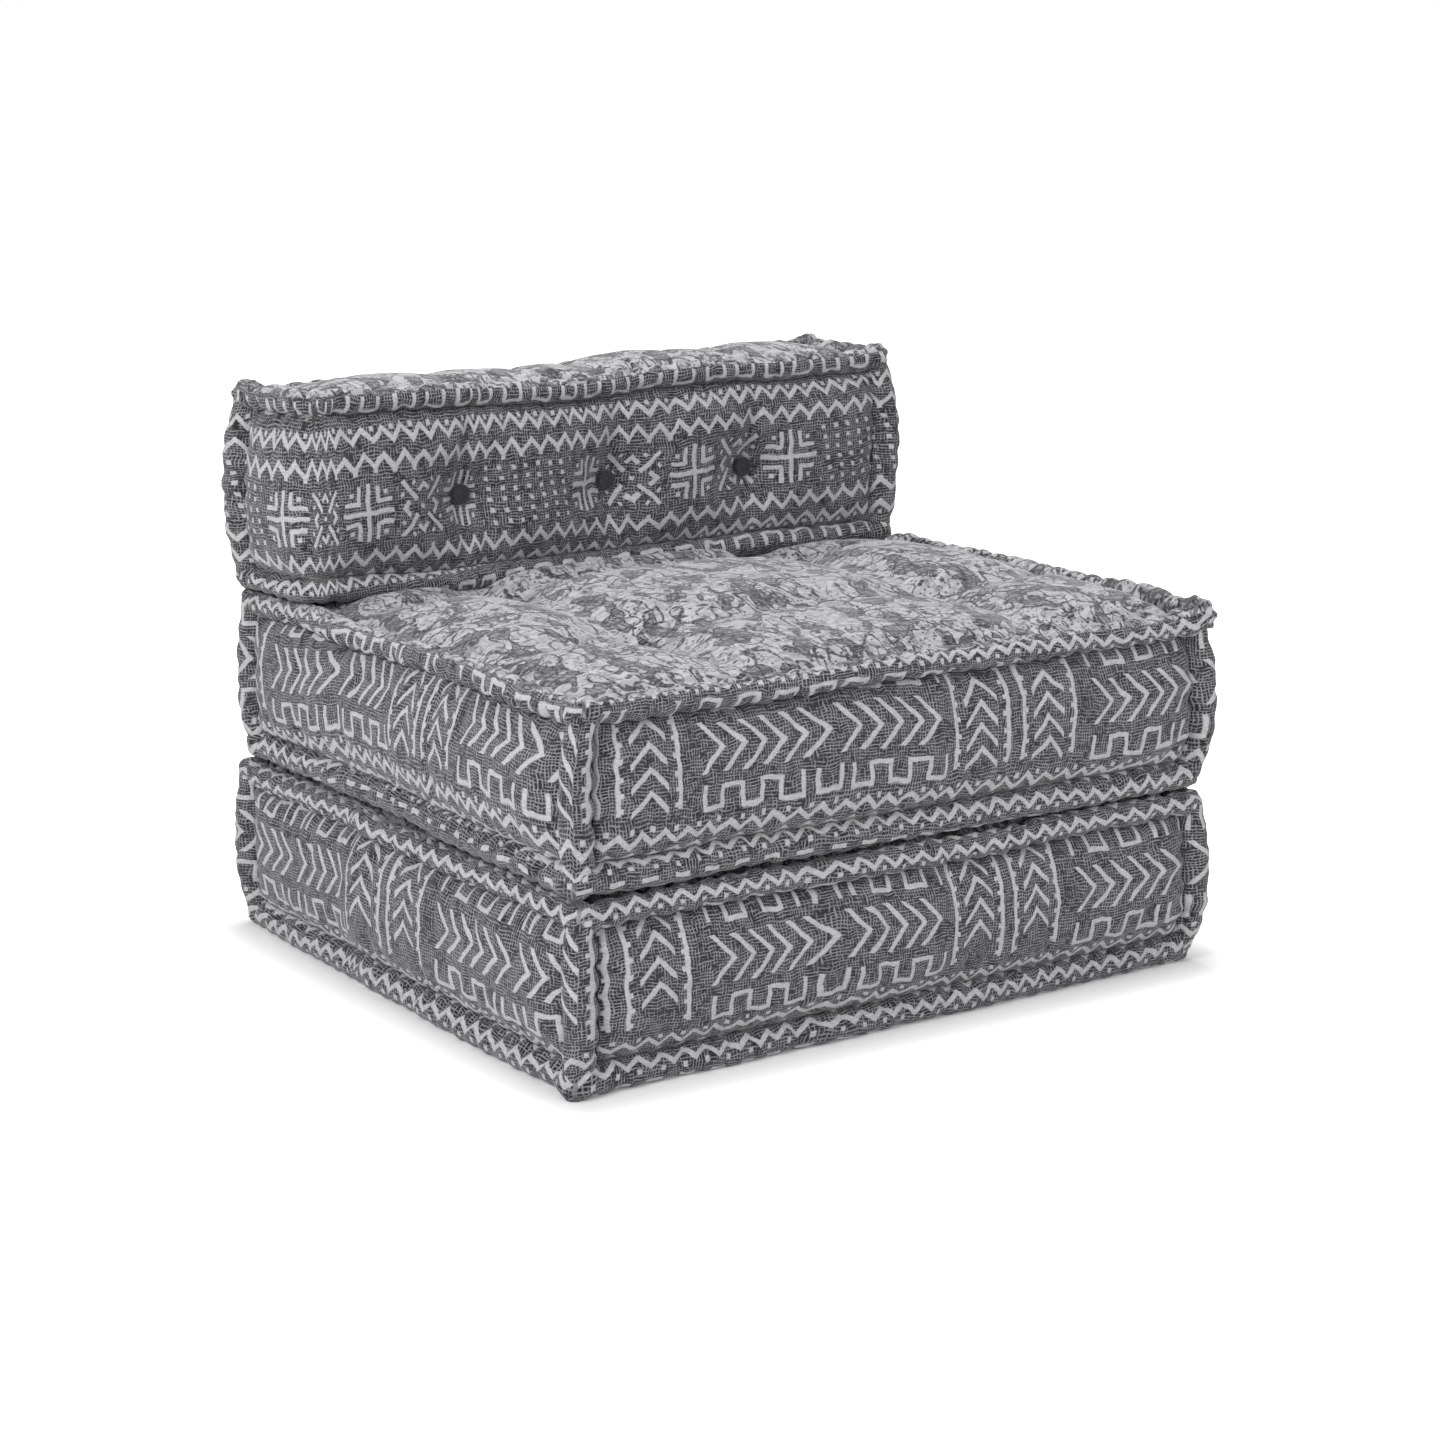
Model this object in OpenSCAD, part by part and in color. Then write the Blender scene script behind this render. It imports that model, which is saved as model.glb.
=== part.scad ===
// Stacked modular sofa: a base cushion, a seat cushion and a back cushion.
// Each cushion is a filling in a sewn cover with stitched edge rolls and tufts.
// +X is the sitter's right, +Y runs to the back, Z is up, origin on the floor.

/* [Overall size] */
// Width across the front, outside the edge rolls
width = 800; // [640:10:1000]
// Depth from front to back, outside the edge rolls
depth = 735; // [640:5:900]
// Height of the base cushion
base_height = 200; // [160:5:260]
// Height of the seat cushion over its edge rolls
seat_height = 200; // [160:5:260]
// Height of the back cushion over its edge rolls
back_height = 240; // [200:5:320]
// Thickness of the back cushion from front to back
back_depth = 170; // [140:5:190]

/* [Edge rolls] */
// Diameter of the stitched edge rolls
roll_d = 28; // [20:1:32]
// Length of roll between two stitches
stitch_pitch = 28; // [24:1:60]
// Depth to which a stitch pulls the roll in
stitch_pinch = 1.8; // [0.5:0.1:3]
// Swelling of an upright corner roll at its middle
corner_swell = 2.5; // [0:0.5:4]

/* [Cover] */
// Thickness of the woven cover
cloth = 1.5; // [1:0.1:2.5]
// Gap between pieces that lie against each other
fit = 0.3; // [0.2:0.05:0.5]
// Rise of the seat panel over the top of its edge rolls
seat_crown = 16; // [4:1:24]
// Rise of the back cushion's top panel over its edge rolls
back_crown = 9; // [2:1:16]
// Depth of the puckers that the tufts draw across the back cushion's top panel
back_pucker = 6; // [0:1:8]
// Width of the cloth that turns down at a panel's rim to meet the edge rolls
rim = 15; // [10:1:20]
// Depth to which the base is pressed flat on the floor
floor_cut = 0.5; // [0.2:0.1:1]
// Depth of the valleys that run between the seat's tufts
valley = 14; // [0:1:20]
// How far a border swells out from the middle of its rolls
border_bulge = 13; // [4:1:16]

/* [Tufts] */
// Distance between the two columns of tufts in base and seat
tuft_columns = 390; // [300:5:460]
// Distance between the two rows of tufts in base and seat
tuft_rows = 290; // [220:5:320]
// Depth of a seat or base tuft below the tops of the edge rolls
tuft_sink = 24; // [14:1:32]
// Width of the slope from a tuft's floor to the level around it
tuft_slope = 32; // [20:1:40]
// Distance between neighbouring tufts in the back cushion
back_tuft_pitch = 195; // [150:5:215]
// Height of the back cushion's tufts over its underside
back_tuft_height = 107; // [95:1:145]
// Depth of a back tuft behind the outside of the edge rolls
back_tuft_sink = 26; // [18:1:34]
// Diameter of a felt tuft pad
pad_d = 24; // [18:1:30]
// Thickness of a felt tuft pad
pad_t = 7; // [4:0.5:9]
// Diameter of the tufting twine
twine_d = 2.4; // [1.5:0.1:3.5]

/* [Hidden] */

front = 0;
right = 1;
rear = 2;
left = 3;

roll_r = roll_d / 2;
// From a roll's centre line to the cloth that lies against it
seam_r = roll_r + fit;
// Flat floor of a tuft, from its middle to its side
tuft_flat = pad_d / 2 + 1;

seat_z = base_height + fit;
back_z = seat_z + seat_height + fit;
back_y = depth / 2 - back_depth / 2;
// The seat's crown is pressed level behind this line, under the back cushion
press_y = depth / 2 - back_depth - fit;

dark_print = "#77777a";
light_jacquard = "#b9b9bb";
felt = "#4a4a4c";
wadding = "#efece4";
cord = "#d8d2c4";

// Outside sizes of the cushions. The base reaches below the floor by the depth
// that is then cut off it
base_box = [width, depth, base_height + floor_cut];
seat_box = [width, depth, seat_height];
back_box = [width, back_depth, back_height];
seat_tufts = [for (x = [-1, 1], y = [-1, 1]) [x * tuft_columns / 2, y * tuft_rows / 2]];
back_tufts = [for (k = [-1 : 1]) k * back_tuft_pitch];

function sorted(v) = len(v) < 2 ? v : let (
    pivot = v[0],
    low = [for (k = [1 : len(v) - 1]) if (v[k] <= pivot) v[k]],
    high = [for (k = [1 : len(v) - 1]) if (v[k] > pivot) v[k]]
) concat(sorted(low), [pivot], sorted(high));

// Lines of a sorted list that lie inside the span and apart from the one before
function spaced(v, span, apart = 6) = [
    for (k = [0 : len(v) - 1])
        if (abs(v[k]) < span - apart && (k == 0 || v[k] - v[k - 1] > apart)) v[k]
];

// Both sides of each tuft's floor, and the far ends of its slopes
function tuft_lines(at) = [
    for (t = at, s = [-1, 1], e = [tuft_flat, tuft_flat + tuft_slope]) t + s * e
];

// Grid lines over a span: both ends, both rims, the tufts and any others
function grid_lines(span, at, others = []) = concat(
    [-span, rim - span],
    spaced(sorted(concat(tuft_lines(at), others)), span - rim),
    [span - rim, span]
);

// Half the width and half the depth of a panel, from the seams
function panel_span(box) = [box[0] / 2 - roll_r - seam_r, box[1] / 2 - roll_r - seam_r];

// Share of full height at t from -1 to 1: steep at a seam, level at the middle
function swell(t, power = 4) = sqrt(max(0, 1 - pow(min(1, abs(t)), power)));

// 1 on a tuft's floor, falling to 0 at the end of its slope
function dip(away) = pow(1 - min(1, max(0, away - tuft_flat) / tuft_slope), 1.5);

function tuft_dip(x, y, at) = max([for (t = at) dip(max(abs(x - t[0]), abs(y - t[1])))]);

// Heights of a panel's outside over the bottom of its cushion, level with the
// rolls and turned down to the seams
plain = function (x, y, box) let (span = panel_span(box))
    box[2] - (abs(x) > span[0] - 1 || abs(y) > span[1] - 1 ? roll_r : 0);

// A level panel with tufts
level = function (x, y, box) let (t = tuft_dip(x, y, seat_tufts))
    plain(x, y, box) * (1 - t) + (box[2] - tuft_sink) * t;

// A crowned panel with tufts, valleys between them and a part pressed level
crowned = function (x, y, box) let (
    span = panel_span(box),
    channel = max([for (t = seat_tufts) max(dip(abs(x - t[0])), dip(abs(y - t[1])))]),
    crown = swell(x / span[0]) * swell(y / span[1]),
    risen = box[2] - roll_r + crown * (roll_r + seat_crown - valley * channel),
    pressed = y > press_y - 3 ? min(risen, plain(x, y, box)) : risen,
    t = tuft_dip(x, y, seat_tufts)
) pressed * (1 - t) + (box[2] - tuft_sink) * t;

// A crowned panel that is drawn down beside the tufts of the border below it
puckered = function (x, y, box) let (
    span = panel_span(box),
    drawn = max([for (t = back_tufts) dip(abs(x - t))])
) box[2] - roll_r
    + swell(x / span[0]) * swell(y / span[1]) * (roll_r + back_crown - back_pucker * drawn);

// Grid of points over a panel; drop is how far the surface lies inside the cover
function cap_grid(box, xs, ys, height, drop, under = false) = [
    for (y = ys) [
        for (x = xs) let (z = height(x, y, box) - drop) [x, y, under ? box[2] - z : z]
    ]
];

// Border levels from the seam over the lower roll to the seam under the upper one
function border_levels(box, at = []) = let (
    low = roll_r + seam_r,
    high = box[2] - low,
    middle = len(at) == 0
        ? [for (share = [0.2, 0.8]) low + (high - low) * share]
        : [for (t = at, s = [-1, 1], e = [tuft_flat, tuft_flat + tuft_slope * 0.8]) t + s * e]
) concat([low], sorted(middle), [high]);

// From a corner roll's centre line to the cloth against it, at a height
function corner_seam(z, box) =
    seam_r + corner_swell * min(1, 1.5 * sin(180 * (z - roll_r) / (box[2] - roll_d)));

// Point of a border or of the filling behind it. Sides 0 to 3 run round from the
// front, u runs along the side, calm is how far out the border is level along its
// length, and a wrapped end has no roll
function side_point(box, side, u, z, inset, calm, tufts = [], wrapped = false) = let (
    half = box[side % 2] / 2,
    edge = half - roll_r - corner_seam(z, box),
    turns = wrapped && (side == front ? u : -u) < seam_r + roll_r + 1 - half,
    along = turns ? u : sign(u) * min(abs(u), edge),
    v = (2 * z - box[2]) / (box[2] - 2 * (roll_r + seam_r)),
    across = turns ? 1 : swell(max(0, abs(along) - calm) / (edge - calm), 3),
    t = len(tufts) == 0 ? 0 : max([
        for (x = tufts) dip(max(abs(u - x), abs(z - back_tuft_height)))
    ]),
    out = border_bulge * across * swell(v, 3) * (1 - t) + (roll_r - back_tuft_sink) * t
) turned([along, roll_r - box[1 - side % 2] / 2 - out + inset, z], side);

// Corner point between the side before this one and this one
function corner_point(box, side, z, inset, wrapped) = let (
    v = (2 * z - box[2]) / (box[2] - 2 * (roll_r + seam_r)),
    in = wrapped ? inset * 0.7 - border_bulge * 0.55 * swell(v, 3)
        : inset * 0.7 + 1.1 * corner_seam(z, box) * cos(45),
    half = box[side % 2] / 2 - roll_r
) turned([in - half, in + roll_r - box[1 - side % 2] / 2, z], side);

function turned(p, side) = [
    p[0] * cos(90 * side) - p[1] * sin(90 * side),
    p[0] * sin(90 * side) + p[1] * cos(90 * side),
    p[2]
];

// The lines of a side between its corners, the outer two on its seams
function inner_lines(v) = let (n = len(v) - 1) [
    for (k = [1 : n - 1]) k == 1 ? v[0] : k == n - 1 ? v[n] : v[k]
];

// All points of the filling's side at one level, the front left corner first
function ring(box, xs, ys, z, inset, calm, tufts, wrapped) = [
    for (side = [front : left]) each concat(
        [corner_point(box, side, z, inset, wrapped && side == front)],
        [
            for (u = inner_lines(side % 2 == 0 ? xs : ys))
                side_point(box, side, u, z, inset, calm[side % 2],
                    side % 2 == 0 ? tufts : [], wrapped && (side == front || side == left))
        ]
    )
];

// The filling's points at the height where it keeps clear of a perimeter roll
nook = 1.1 * seam_r * cos(45);

function nook_ring(box, xs, ys, z) = [
    for (side = [front : left]) let (n = roll_r + nook - box[1 - side % 2] / 2) each concat(
        [turned([roll_r + nook - box[side % 2] / 2, n, z], side)],
        [for (u = inner_lines(side % 2 == 0 ? xs : ys)) turned([u, n, z], side)]
    )
];

// Numbers of a grid's boundary points, counterclockwise from its first corner
function rim_numbers(rows, cols) = concat(
    [for (i = [0 : cols - 2]) i],
    [for (j = [0 : rows - 2]) j * cols + cols - 1],
    [for (i = [cols - 1 : -1 : 1]) (rows - 1) * cols + i],
    [for (j = [rows - 1 : -1 : 1]) j * cols]
);

function grid_faces(rows, cols, first, flip = false) = [
    for (j = [0 : rows - 2], i = [0 : cols - 2]) let (
        a = first + j * cols + i,
        b = a + 1,
        c = a + cols + 1,
        d = a + cols
    ) each flip ? [[a, c, d], [a, b, c]] : [[a, d, c], [a, c, b]]
];

// Faces between an upper and a lower closed row of points
function wall_faces(upper, lower) = let (n = len(upper)) [
    for (k = [0 : n - 1]) let (m = (k + 1) % n)
        each [[upper[k], upper[m], lower[k]], [upper[m], lower[m], lower[k]]]
];

function numbers(first, count) = [for (k = [0 : count - 1]) first + k];

// Cloth between two grids of points that match row by row
module cloth_sheet(outer, inner) {
    rows = len(outer);
    cols = len(outer[0]);
    count = rows * cols;
    edge = rim_numbers(rows, cols);
    polyhedron(
        points = concat([for (row = outer) each row], [for (row = inner) each row]),
        faces = concat(
            grid_faces(rows, cols, 0),
            grid_faces(rows, cols, count, flip = true),
            wall_faces(edge, [for (k = edge) k + count])
        )
    );
}

// Filling between a top grid and a bottom grid, through closed rings
module stuffed(top, rings, bottom) {
    rows = len(top);
    cols = len(top[0]);
    count = rows * cols;
    n = len(rings[0]);
    edge = rim_numbers(rows, cols);
    belts = concat(
        [edge],
        [for (k = [0 : len(rings) - 1]) numbers(2 * count + k * n, n)],
        [[for (k = edge) k + count]]
    );
    polyhedron(
        points = concat(
            [for (row = top) each row], [for (row = bottom) each row], [for (r = rings) each r]
        ),
        faces = concat(
            grid_faces(rows, cols, 0),
            grid_faces(rows, cols, count, flip = true),
            [for (k = [0 : len(belts) - 2]) each wall_faces(belts[k], belts[k + 1])]
        )
    );
}

// Filling of a cushion under its top and bottom surfaces
module filling(box, xs, ys, top, bottom, levels, calm, tufts = [], wrapped = false) {
    inset = cloth + fit;
    last = len(levels) - 1;
    stuffed(
        cap_grid(box, xs, ys, top, inset),
        concat(
            [nook_ring(box, xs, ys, box[2] - roll_r - nook)],
            [
                for (k = [last : -1 : 0])
                    ring(box, xs, ys, levels[k], inset, calm, tufts, wrapped)
            ],
            [nook_ring(box, xs, ys, roll_r + nook)]
        ),
        cap_grid(box, xs, ys, bottom, inset, under = true)
    );
}

module top_panel(box, xs, ys, height) {
    cloth_sheet(cap_grid(box, xs, ys, height, 0), cap_grid(box, xs, ys, height, cloth));
}

module bottom_panel(box, xs, ys, height) {
    cloth_sheet(
        cap_grid(box, xs, ys, height, cloth, under = true),
        cap_grid(box, xs, ys, height, 0, under = true)
    );
}

// Lines of a border: the level middle of a plain one is a single strip
function strip_lines(lines, calm, tufts) = [
    for (u = inner_lines(lines)) if (len(tufts) > 0 || abs(u) > calm - 1) u
];

// Border cloth along one side, from corner roll to corner roll
module border(box, lines, levels, side, calm, tufts = []) {
    sheets = [
        for (inset = [0, cloth]) [
            for (z = levels) [
                for (u = strip_lines(lines, calm[side % 2], tufts))
                    side_point(box, side, u, z, inset, calm[side % 2], tufts)
            ]
        ]
    ];
    cloth_sheet(sheets[0], sheets[1]);
}

// Border cloth along the left side and the front in one, round the corner
module wrapped_border(box, xs, ys, levels, calm, tufts) {
    sheets = [
        for (inset = [0, cloth]) [
            for (z = levels) concat(
                [
                    for (u = inner_lines(ys))
                        side_point(box, left, u, z, inset, calm[1], [], true)
                ],
                [corner_point(box, front, z, inset, true)],
                [
                    for (u = inner_lines(xs))
                        side_point(box, front, u, z, inset, calm[0], tufts, true)
                ]
            )
        ]
    ];
    cloth_sheet(sheets[0], sheets[1]);
}

// Outline of half a roll: pulled in at each stitch, rounded between stitches
function roll_outline(length, swelling) = let (
    lumps = max(1, round(length / stitch_pitch)),
    steps = 3 * lumps
) [
    for (k = [0 : steps]) let (
        z = length * k / steps,
        pinch = stitch_pinch * (1 - sqrt(abs(sin(180 * lumps * k / steps)))),
        mid = swelling * sin(180 * k / steps)
    ) [roll_r - pinch + mid, z]
];

// Roll of wadding in stitched cloth, lying along +X about its middle
module edge_roll(length) {
    translate([-length / 2, 0, 0])
        rotate([0, 90, 0])
            rotate_extrude($fn = 48)
                polygon(concat([[0, 0]], roll_outline(length, 0), [[0, length]]));
}

// Four edge rolls round a cushion, between the knobs of its corner rolls
module perimeter_roll(box) {
    for (side = [front : left]) {
        along = side % 2;
        rotate(90 * side)
            translate([0, roll_r - box[1 - along] / 2, 0])
                edge_roll(box[along] - 2 * (roll_r + seam_r));
    }
}

// Upright roll that swells at its middle and ends in a knob at each end
module corner_roll(height) {
    translate([0, 0, roll_r])
        rotate_extrude($fn = 48)
            polygon(concat(
                [[0, 0]], roll_outline(height - roll_d, corner_swell), [[0, height - roll_d]]
            ));
    for (z = [roll_r, height - roll_r])
        translate([0, 0, z])
            sphere(r = roll_r, $fn = 48);
}

module corner_rolls(box, skip_front_left = false) {
    for (x = [-1, 1], y = [-1, 1])
        if (!(skip_front_left && x < 0 && y < 0))
            translate([x * (box[0] / 2 - roll_r), y * (box[1] / 2 - roll_r), 0])
                corner_roll(box[2]);
}

// Domed felt pad with a blind hole for the twine in its flat face, at z = 0
module pad() {
    hole_r = twine_d / 2 + fit;
    dome = pad_t * 0.45;
    difference() {
        rotate_extrude($fn = 48)
            polygon([
                [0, 0], [pad_d / 2 - 1, 0], [pad_d / 2, 1], [pad_d / 2, pad_t - dome],
                for (a = [15 : 15 : 90]) [pad_d / 2 * cos(a), pad_t - dome + dome * sin(a)]
            ]);
        translate([0, 0, -1])
            cylinder(r = hole_r, h = 1 + pad_t / 2, $fn = 32);
    }
}

// Pads of a base or seat cushion on the floors of its upper or lower tufts
module cushion_pads(box, upper) {
    for (t = seat_tufts)
        translate([t[0], t[1], upper ? box[2] - tuft_sink + fit : tuft_sink - fit])
            rotate([upper ? 0 : 180, 0, 0])
                pad();
}

// Twine holes through a base or seat cushion
module twine_holes(box) {
    for (t = seat_tufts)
        translate([t[0], t[1], -1])
            cylinder(r = twine_d / 2 + fit, h = box[2] + 2, $fn = 24);
}

// Tufting twines of a base or seat cushion, ending inside the pads
module twines(box) {
    reach = pad_t / 2 - fit;
    for (t = seat_tufts)
        translate([t[0], t[1], tuft_sink - reach])
            cylinder(d = twine_d, h = box[2] - 2 * tuft_sink + 2 * reach, $fn = 24);
}

// Everything at a back tuft, set on its centre line and pointing forwards
module at_back_tufts() {
    for (x = back_tufts)
        translate([x, 0, back_tuft_height])
            rotate([90, 0, 0])
                children();
}

// Half the distance between the floors of a front and a rear tuft
tuft_half = back_depth / 2 - back_tuft_sink;

module back_pads() {
    at_back_tufts()
        translate([0, 0, tuft_half + fit])
            pad();
}

module back_holes() {
    at_back_tufts()
        cylinder(r = twine_d / 2 + fit, h = back_depth + 2, center = true, $fn = 24);
}

module back_twine_set() {
    at_back_tufts()
        cylinder(d = twine_d, h = 2 * (tuft_half + pad_t / 2 - fit), center = true, $fn = 24);
}

module on_seat() {
    translate([0, 0, seat_z])
        children();
}

module on_back() {
    translate([0, back_y, back_z])
        children();
}

// Takes off what reaches below the floor
module pressed_flat() {
    difference() {
        translate([0, 0, -floor_cut])
            children();
        translate([-width, -width, -base_height])
            cube([2 * width, 2 * width, base_height]);
    }
}

// Grid lines of the three cushions
column_at = [-tuft_columns / 2, tuft_columns / 2];
row_at = [-tuft_rows / 2, tuft_rows / 2];
panel = panel_span(seat_box);
back_panel = panel_span(back_box);
tuft_reach = tuft_flat + tuft_slope;
seat_calm = [tuft_columns / 2 + tuft_reach, tuft_rows / 2 + tuft_reach];
back_calm = [back_tuft_pitch + tuft_reach, 0];
side_line = (panel[0] + seat_calm[0]) / 2;
front_line = (panel[1] + seat_calm[1]) / 2;

base_xs = grid_lines(panel[0], column_at);
base_ys = grid_lines(panel[1], row_at);
seat_xs = grid_lines(panel[0], column_at, [-side_line, 0, side_line]);
seat_ys = grid_lines(panel[1], row_at, [-front_line, 0, press_y]);
back_xs = grid_lines(back_panel[0], back_tufts);
back_ys = grid_lines(back_panel[1], [], [0]);

base_levels = border_levels(base_box);
seat_levels = border_levels(seat_box);
back_levels = border_levels(back_box, [back_tuft_height]);

module base_filling() {
    color(wadding)
        translate([0, 0, -floor_cut])
            difference() {
                filling(base_box, base_xs, base_ys, level, level, base_levels, seat_calm);
                twine_holes(base_box);
            }
}

module base_top_panel() {
    color(light_jacquard)
        translate([0, 0, -floor_cut])
            difference() {
                top_panel(base_box, base_xs, base_ys, level);
                twine_holes(base_box);
            }
}

module base_bottom_panel() {
    color(dark_print)
        pressed_flat()
            difference() {
                bottom_panel(base_box, base_xs, base_ys, level);
                twine_holes(base_box);
            }
}

module base_border(side) {
    color(dark_print)
        translate([0, 0, -floor_cut])
            border(base_box, side % 2 == 0 ? base_xs : base_ys, base_levels, side, seat_calm);
}

module base_top_roll() {
    color(dark_print)
        translate([0, 0, base_height - roll_r])
            perimeter_roll(base_box);
}

module base_bottom_roll() {
    color(dark_print)
        pressed_flat()
            translate([0, 0, roll_r])
                perimeter_roll(base_box);
}

module base_corner_rolls() {
    color(dark_print)
        pressed_flat()
            corner_rolls(base_box);
}

module base_pads(upper) {
    color(felt)
        translate([0, 0, -floor_cut])
            cushion_pads(base_box, upper);
}

module base_twines() {
    color(cord)
        translate([0, 0, -floor_cut])
            twines(base_box);
}

module seat_filling() {
    color(wadding)
        on_seat()
            difference() {
                filling(seat_box, seat_xs, seat_ys, crowned, level, seat_levels, seat_calm);
                twine_holes(seat_box);
            }
}

module seat_top_panel() {
    color(light_jacquard)
        on_seat()
            difference() {
                top_panel(seat_box, seat_xs, seat_ys, crowned);
                twine_holes(seat_box);
            }
}

module seat_bottom_panel() {
    color(dark_print)
        on_seat()
            difference() {
                bottom_panel(seat_box, seat_xs, seat_ys, level);
                twine_holes(seat_box);
            }
}

module seat_border(side) {
    color(dark_print)
        on_seat()
            border(seat_box, side % 2 == 0 ? seat_xs : seat_ys, seat_levels, side, seat_calm);
}

module seat_roll(z) {
    color(dark_print)
        on_seat()
            translate([0, 0, z])
                perimeter_roll(seat_box);
}

module seat_corner_rolls() {
    color(dark_print)
        on_seat()
            corner_rolls(seat_box);
}

module seat_pads(upper) {
    color(felt)
        on_seat()
            cushion_pads(seat_box, upper);
}

module seat_twines() {
    color(cord)
        on_seat()
            twines(seat_box);
}

module back_filling() {
    color(wadding)
        on_back()
            difference() {
                filling(back_box, back_xs, back_ys, puckered, plain, back_levels, back_calm,
                    back_tufts, true);
                back_holes();
            }
}

module back_top_panel() {
    color(light_jacquard)
        on_back()
            top_panel(back_box, back_xs, back_ys, puckered);
}

module back_bottom_panel() {
    color(dark_print)
        on_back()
            bottom_panel(back_box, back_xs, back_ys, plain);
}

// One strip runs along the left end, round the front left corner and the front
module back_front_border() {
    color(dark_print)
        on_back()
            difference() {
                wrapped_border(back_box, back_xs, back_ys, back_levels, back_calm, back_tufts);
                back_holes();
            }
}

module back_right_border() {
    color(dark_print)
        on_back()
            border(back_box, back_ys, back_levels, right, back_calm);
}

module back_rear_border() {
    color(dark_print)
        on_back()
            difference() {
                border(back_box, back_xs, back_levels, rear, back_calm, back_tufts);
                back_holes();
            }
}

module back_roll(z) {
    color(dark_print)
        on_back()
            translate([0, 0, z])
                perimeter_roll(back_box);
}

module back_corner_rolls() {
    color(dark_print)
        on_back()
            corner_rolls(back_box, skip_front_left = true);
}

module back_pad_set(facing_front) {
    color(felt)
        on_back()
            rotate(facing_front ? 0 : 180)
                back_pads();
}

module back_twines() {
    color(cord)
        on_back()
            back_twine_set();
}

base_filling();
base_top_panel();
base_bottom_panel();
base_border(front);  // base_front_border
base_border(right);  // base_right_border
base_border(rear);  // base_rear_border
base_border(left);  // base_left_border
base_top_roll();
base_bottom_roll();
base_corner_rolls();
base_pads(true);  // base_upper_pads
base_pads(false);  // base_lower_pads
base_twines();
seat_filling();
seat_top_panel();
seat_bottom_panel();
seat_border(front);  // seat_front_border
seat_border(right);  // seat_right_border
seat_border(rear);  // seat_rear_border
seat_border(left);  // seat_left_border
seat_roll(seat_height - roll_r);  // seat_top_roll
seat_roll(roll_r);  // seat_bottom_roll
seat_corner_rolls();
seat_pads(true);  // seat_upper_pads
seat_pads(false);  // seat_lower_pads
seat_twines();
back_filling();
back_top_panel();
back_bottom_panel();
back_front_border();
back_right_border();
back_rear_border();
back_roll(back_height - roll_r);  // back_top_roll
back_roll(roll_r);  // back_bottom_roll
back_corner_rolls();
back_pad_set(true);  // back_front_pads
back_pad_set(false);  // back_rear_pads
back_twines();
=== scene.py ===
import functools
import math

import bmesh
import bpy
import numpy as np
from mathutils import Matrix, Vector
from mathutils.bvhtree import BVHTree


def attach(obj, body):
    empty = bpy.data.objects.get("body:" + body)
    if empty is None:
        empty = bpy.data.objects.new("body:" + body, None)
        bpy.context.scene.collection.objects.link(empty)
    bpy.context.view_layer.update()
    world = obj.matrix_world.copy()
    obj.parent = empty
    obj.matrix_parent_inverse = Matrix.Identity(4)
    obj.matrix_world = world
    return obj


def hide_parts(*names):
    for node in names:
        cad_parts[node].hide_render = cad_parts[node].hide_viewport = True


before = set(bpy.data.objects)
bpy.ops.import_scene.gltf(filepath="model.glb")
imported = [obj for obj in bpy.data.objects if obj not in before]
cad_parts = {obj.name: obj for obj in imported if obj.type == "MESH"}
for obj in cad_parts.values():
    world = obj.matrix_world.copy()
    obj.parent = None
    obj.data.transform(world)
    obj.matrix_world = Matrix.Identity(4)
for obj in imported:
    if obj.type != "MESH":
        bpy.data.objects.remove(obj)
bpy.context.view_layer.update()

scene = bpy.context.scene
mm = 0.001

# The camera stands where the photograph was taken
view = {
    "place": (-1.9064, -2.7911, 1.0338),
    "azimuth": -34.5,
    "elevation": 12.88,
    "lens": 76.7,
    "sensor": 36,
}


def newObject(name, data):
    made = bpy.data.objects.new(name, data)
    scene.collection.objects.link(made)
    return made


def aimCamera(view):
    side, up = math.radians(view["azimuth"]), math.radians(view["elevation"])
    back = Vector((math.sin(side) * math.cos(up), -math.cos(side) * math.cos(up), math.sin(up)))
    camera = newObject("camera", bpy.data.cameras.new("camera"))
    camera.data.lens = view["lens"]
    camera.data.sensor_width = view["sensor"]
    camera.location = view["place"]
    camera.rotation_euler = back.to_track_quat("Z", "Y").to_euler()
    scene.camera = camera


aimCamera(view)
print("camera is up")


def linear(hexCode):
    shares = [int(hexCode[k : k + 2], 16) / 255 for k in (1, 3, 5)]
    return [s / 12.92 if s <= 0.04045 else ((s + 0.055) / 1.055) ** 2.4 for s in shares] + [1]


def addNode(tree, kind, *values, named=None, **settings):
    # kind is a node's type, or the sum that a Math node does
    isType = kind.startswith("ShaderNode")
    made = tree.nodes.new(kind if isType else "ShaderNodeMath")
    if not isType:
        made.operation = kind
    for name, value in settings.items():
        setattr(made, name, value)
    slots = list(zip(made.inputs, values)) + [(made.inputs[n], v) for n, v in (named or {}).items()]
    for slot, value in slots:
        if isinstance(value, bpy.types.Node):
            value = value.outputs[0]
        if isinstance(value, bpy.types.NodeSocket):
            tree.links.new(value, slot)
        else:
            slot.default_value = value
    return made


def newMaterial(name):
    made = bpy.data.materials.new(name)
    made.use_nodes = True
    made.node_tree.nodes.clear()
    return made, functools.partial(addNode, made.node_tree)


# A print is drawn from distances to the middle lines of its strokes, in millimetres
offStroke = 60  # far from any stroke
diagonal = 0.707  # distance from a line at 45 degrees, for a run of 1


def onlyWhere(add, distance, *spans):
    # a stroke is drawn only where each value lies between its limits
    tests = [add("COMPARE", value, (low + high) / 2, (high - low) / 2) for value, low, high in spans]
    inside = functools.reduce(functools.partial(add, "MULTIPLY"), tests)
    return add("MULTIPLY_ADD", inside, -offStroke, add("ADD", distance, offStroke))


def nearest(add, *distances):
    return functools.reduce(functools.partial(add, "MINIMUM"), distances)


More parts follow.
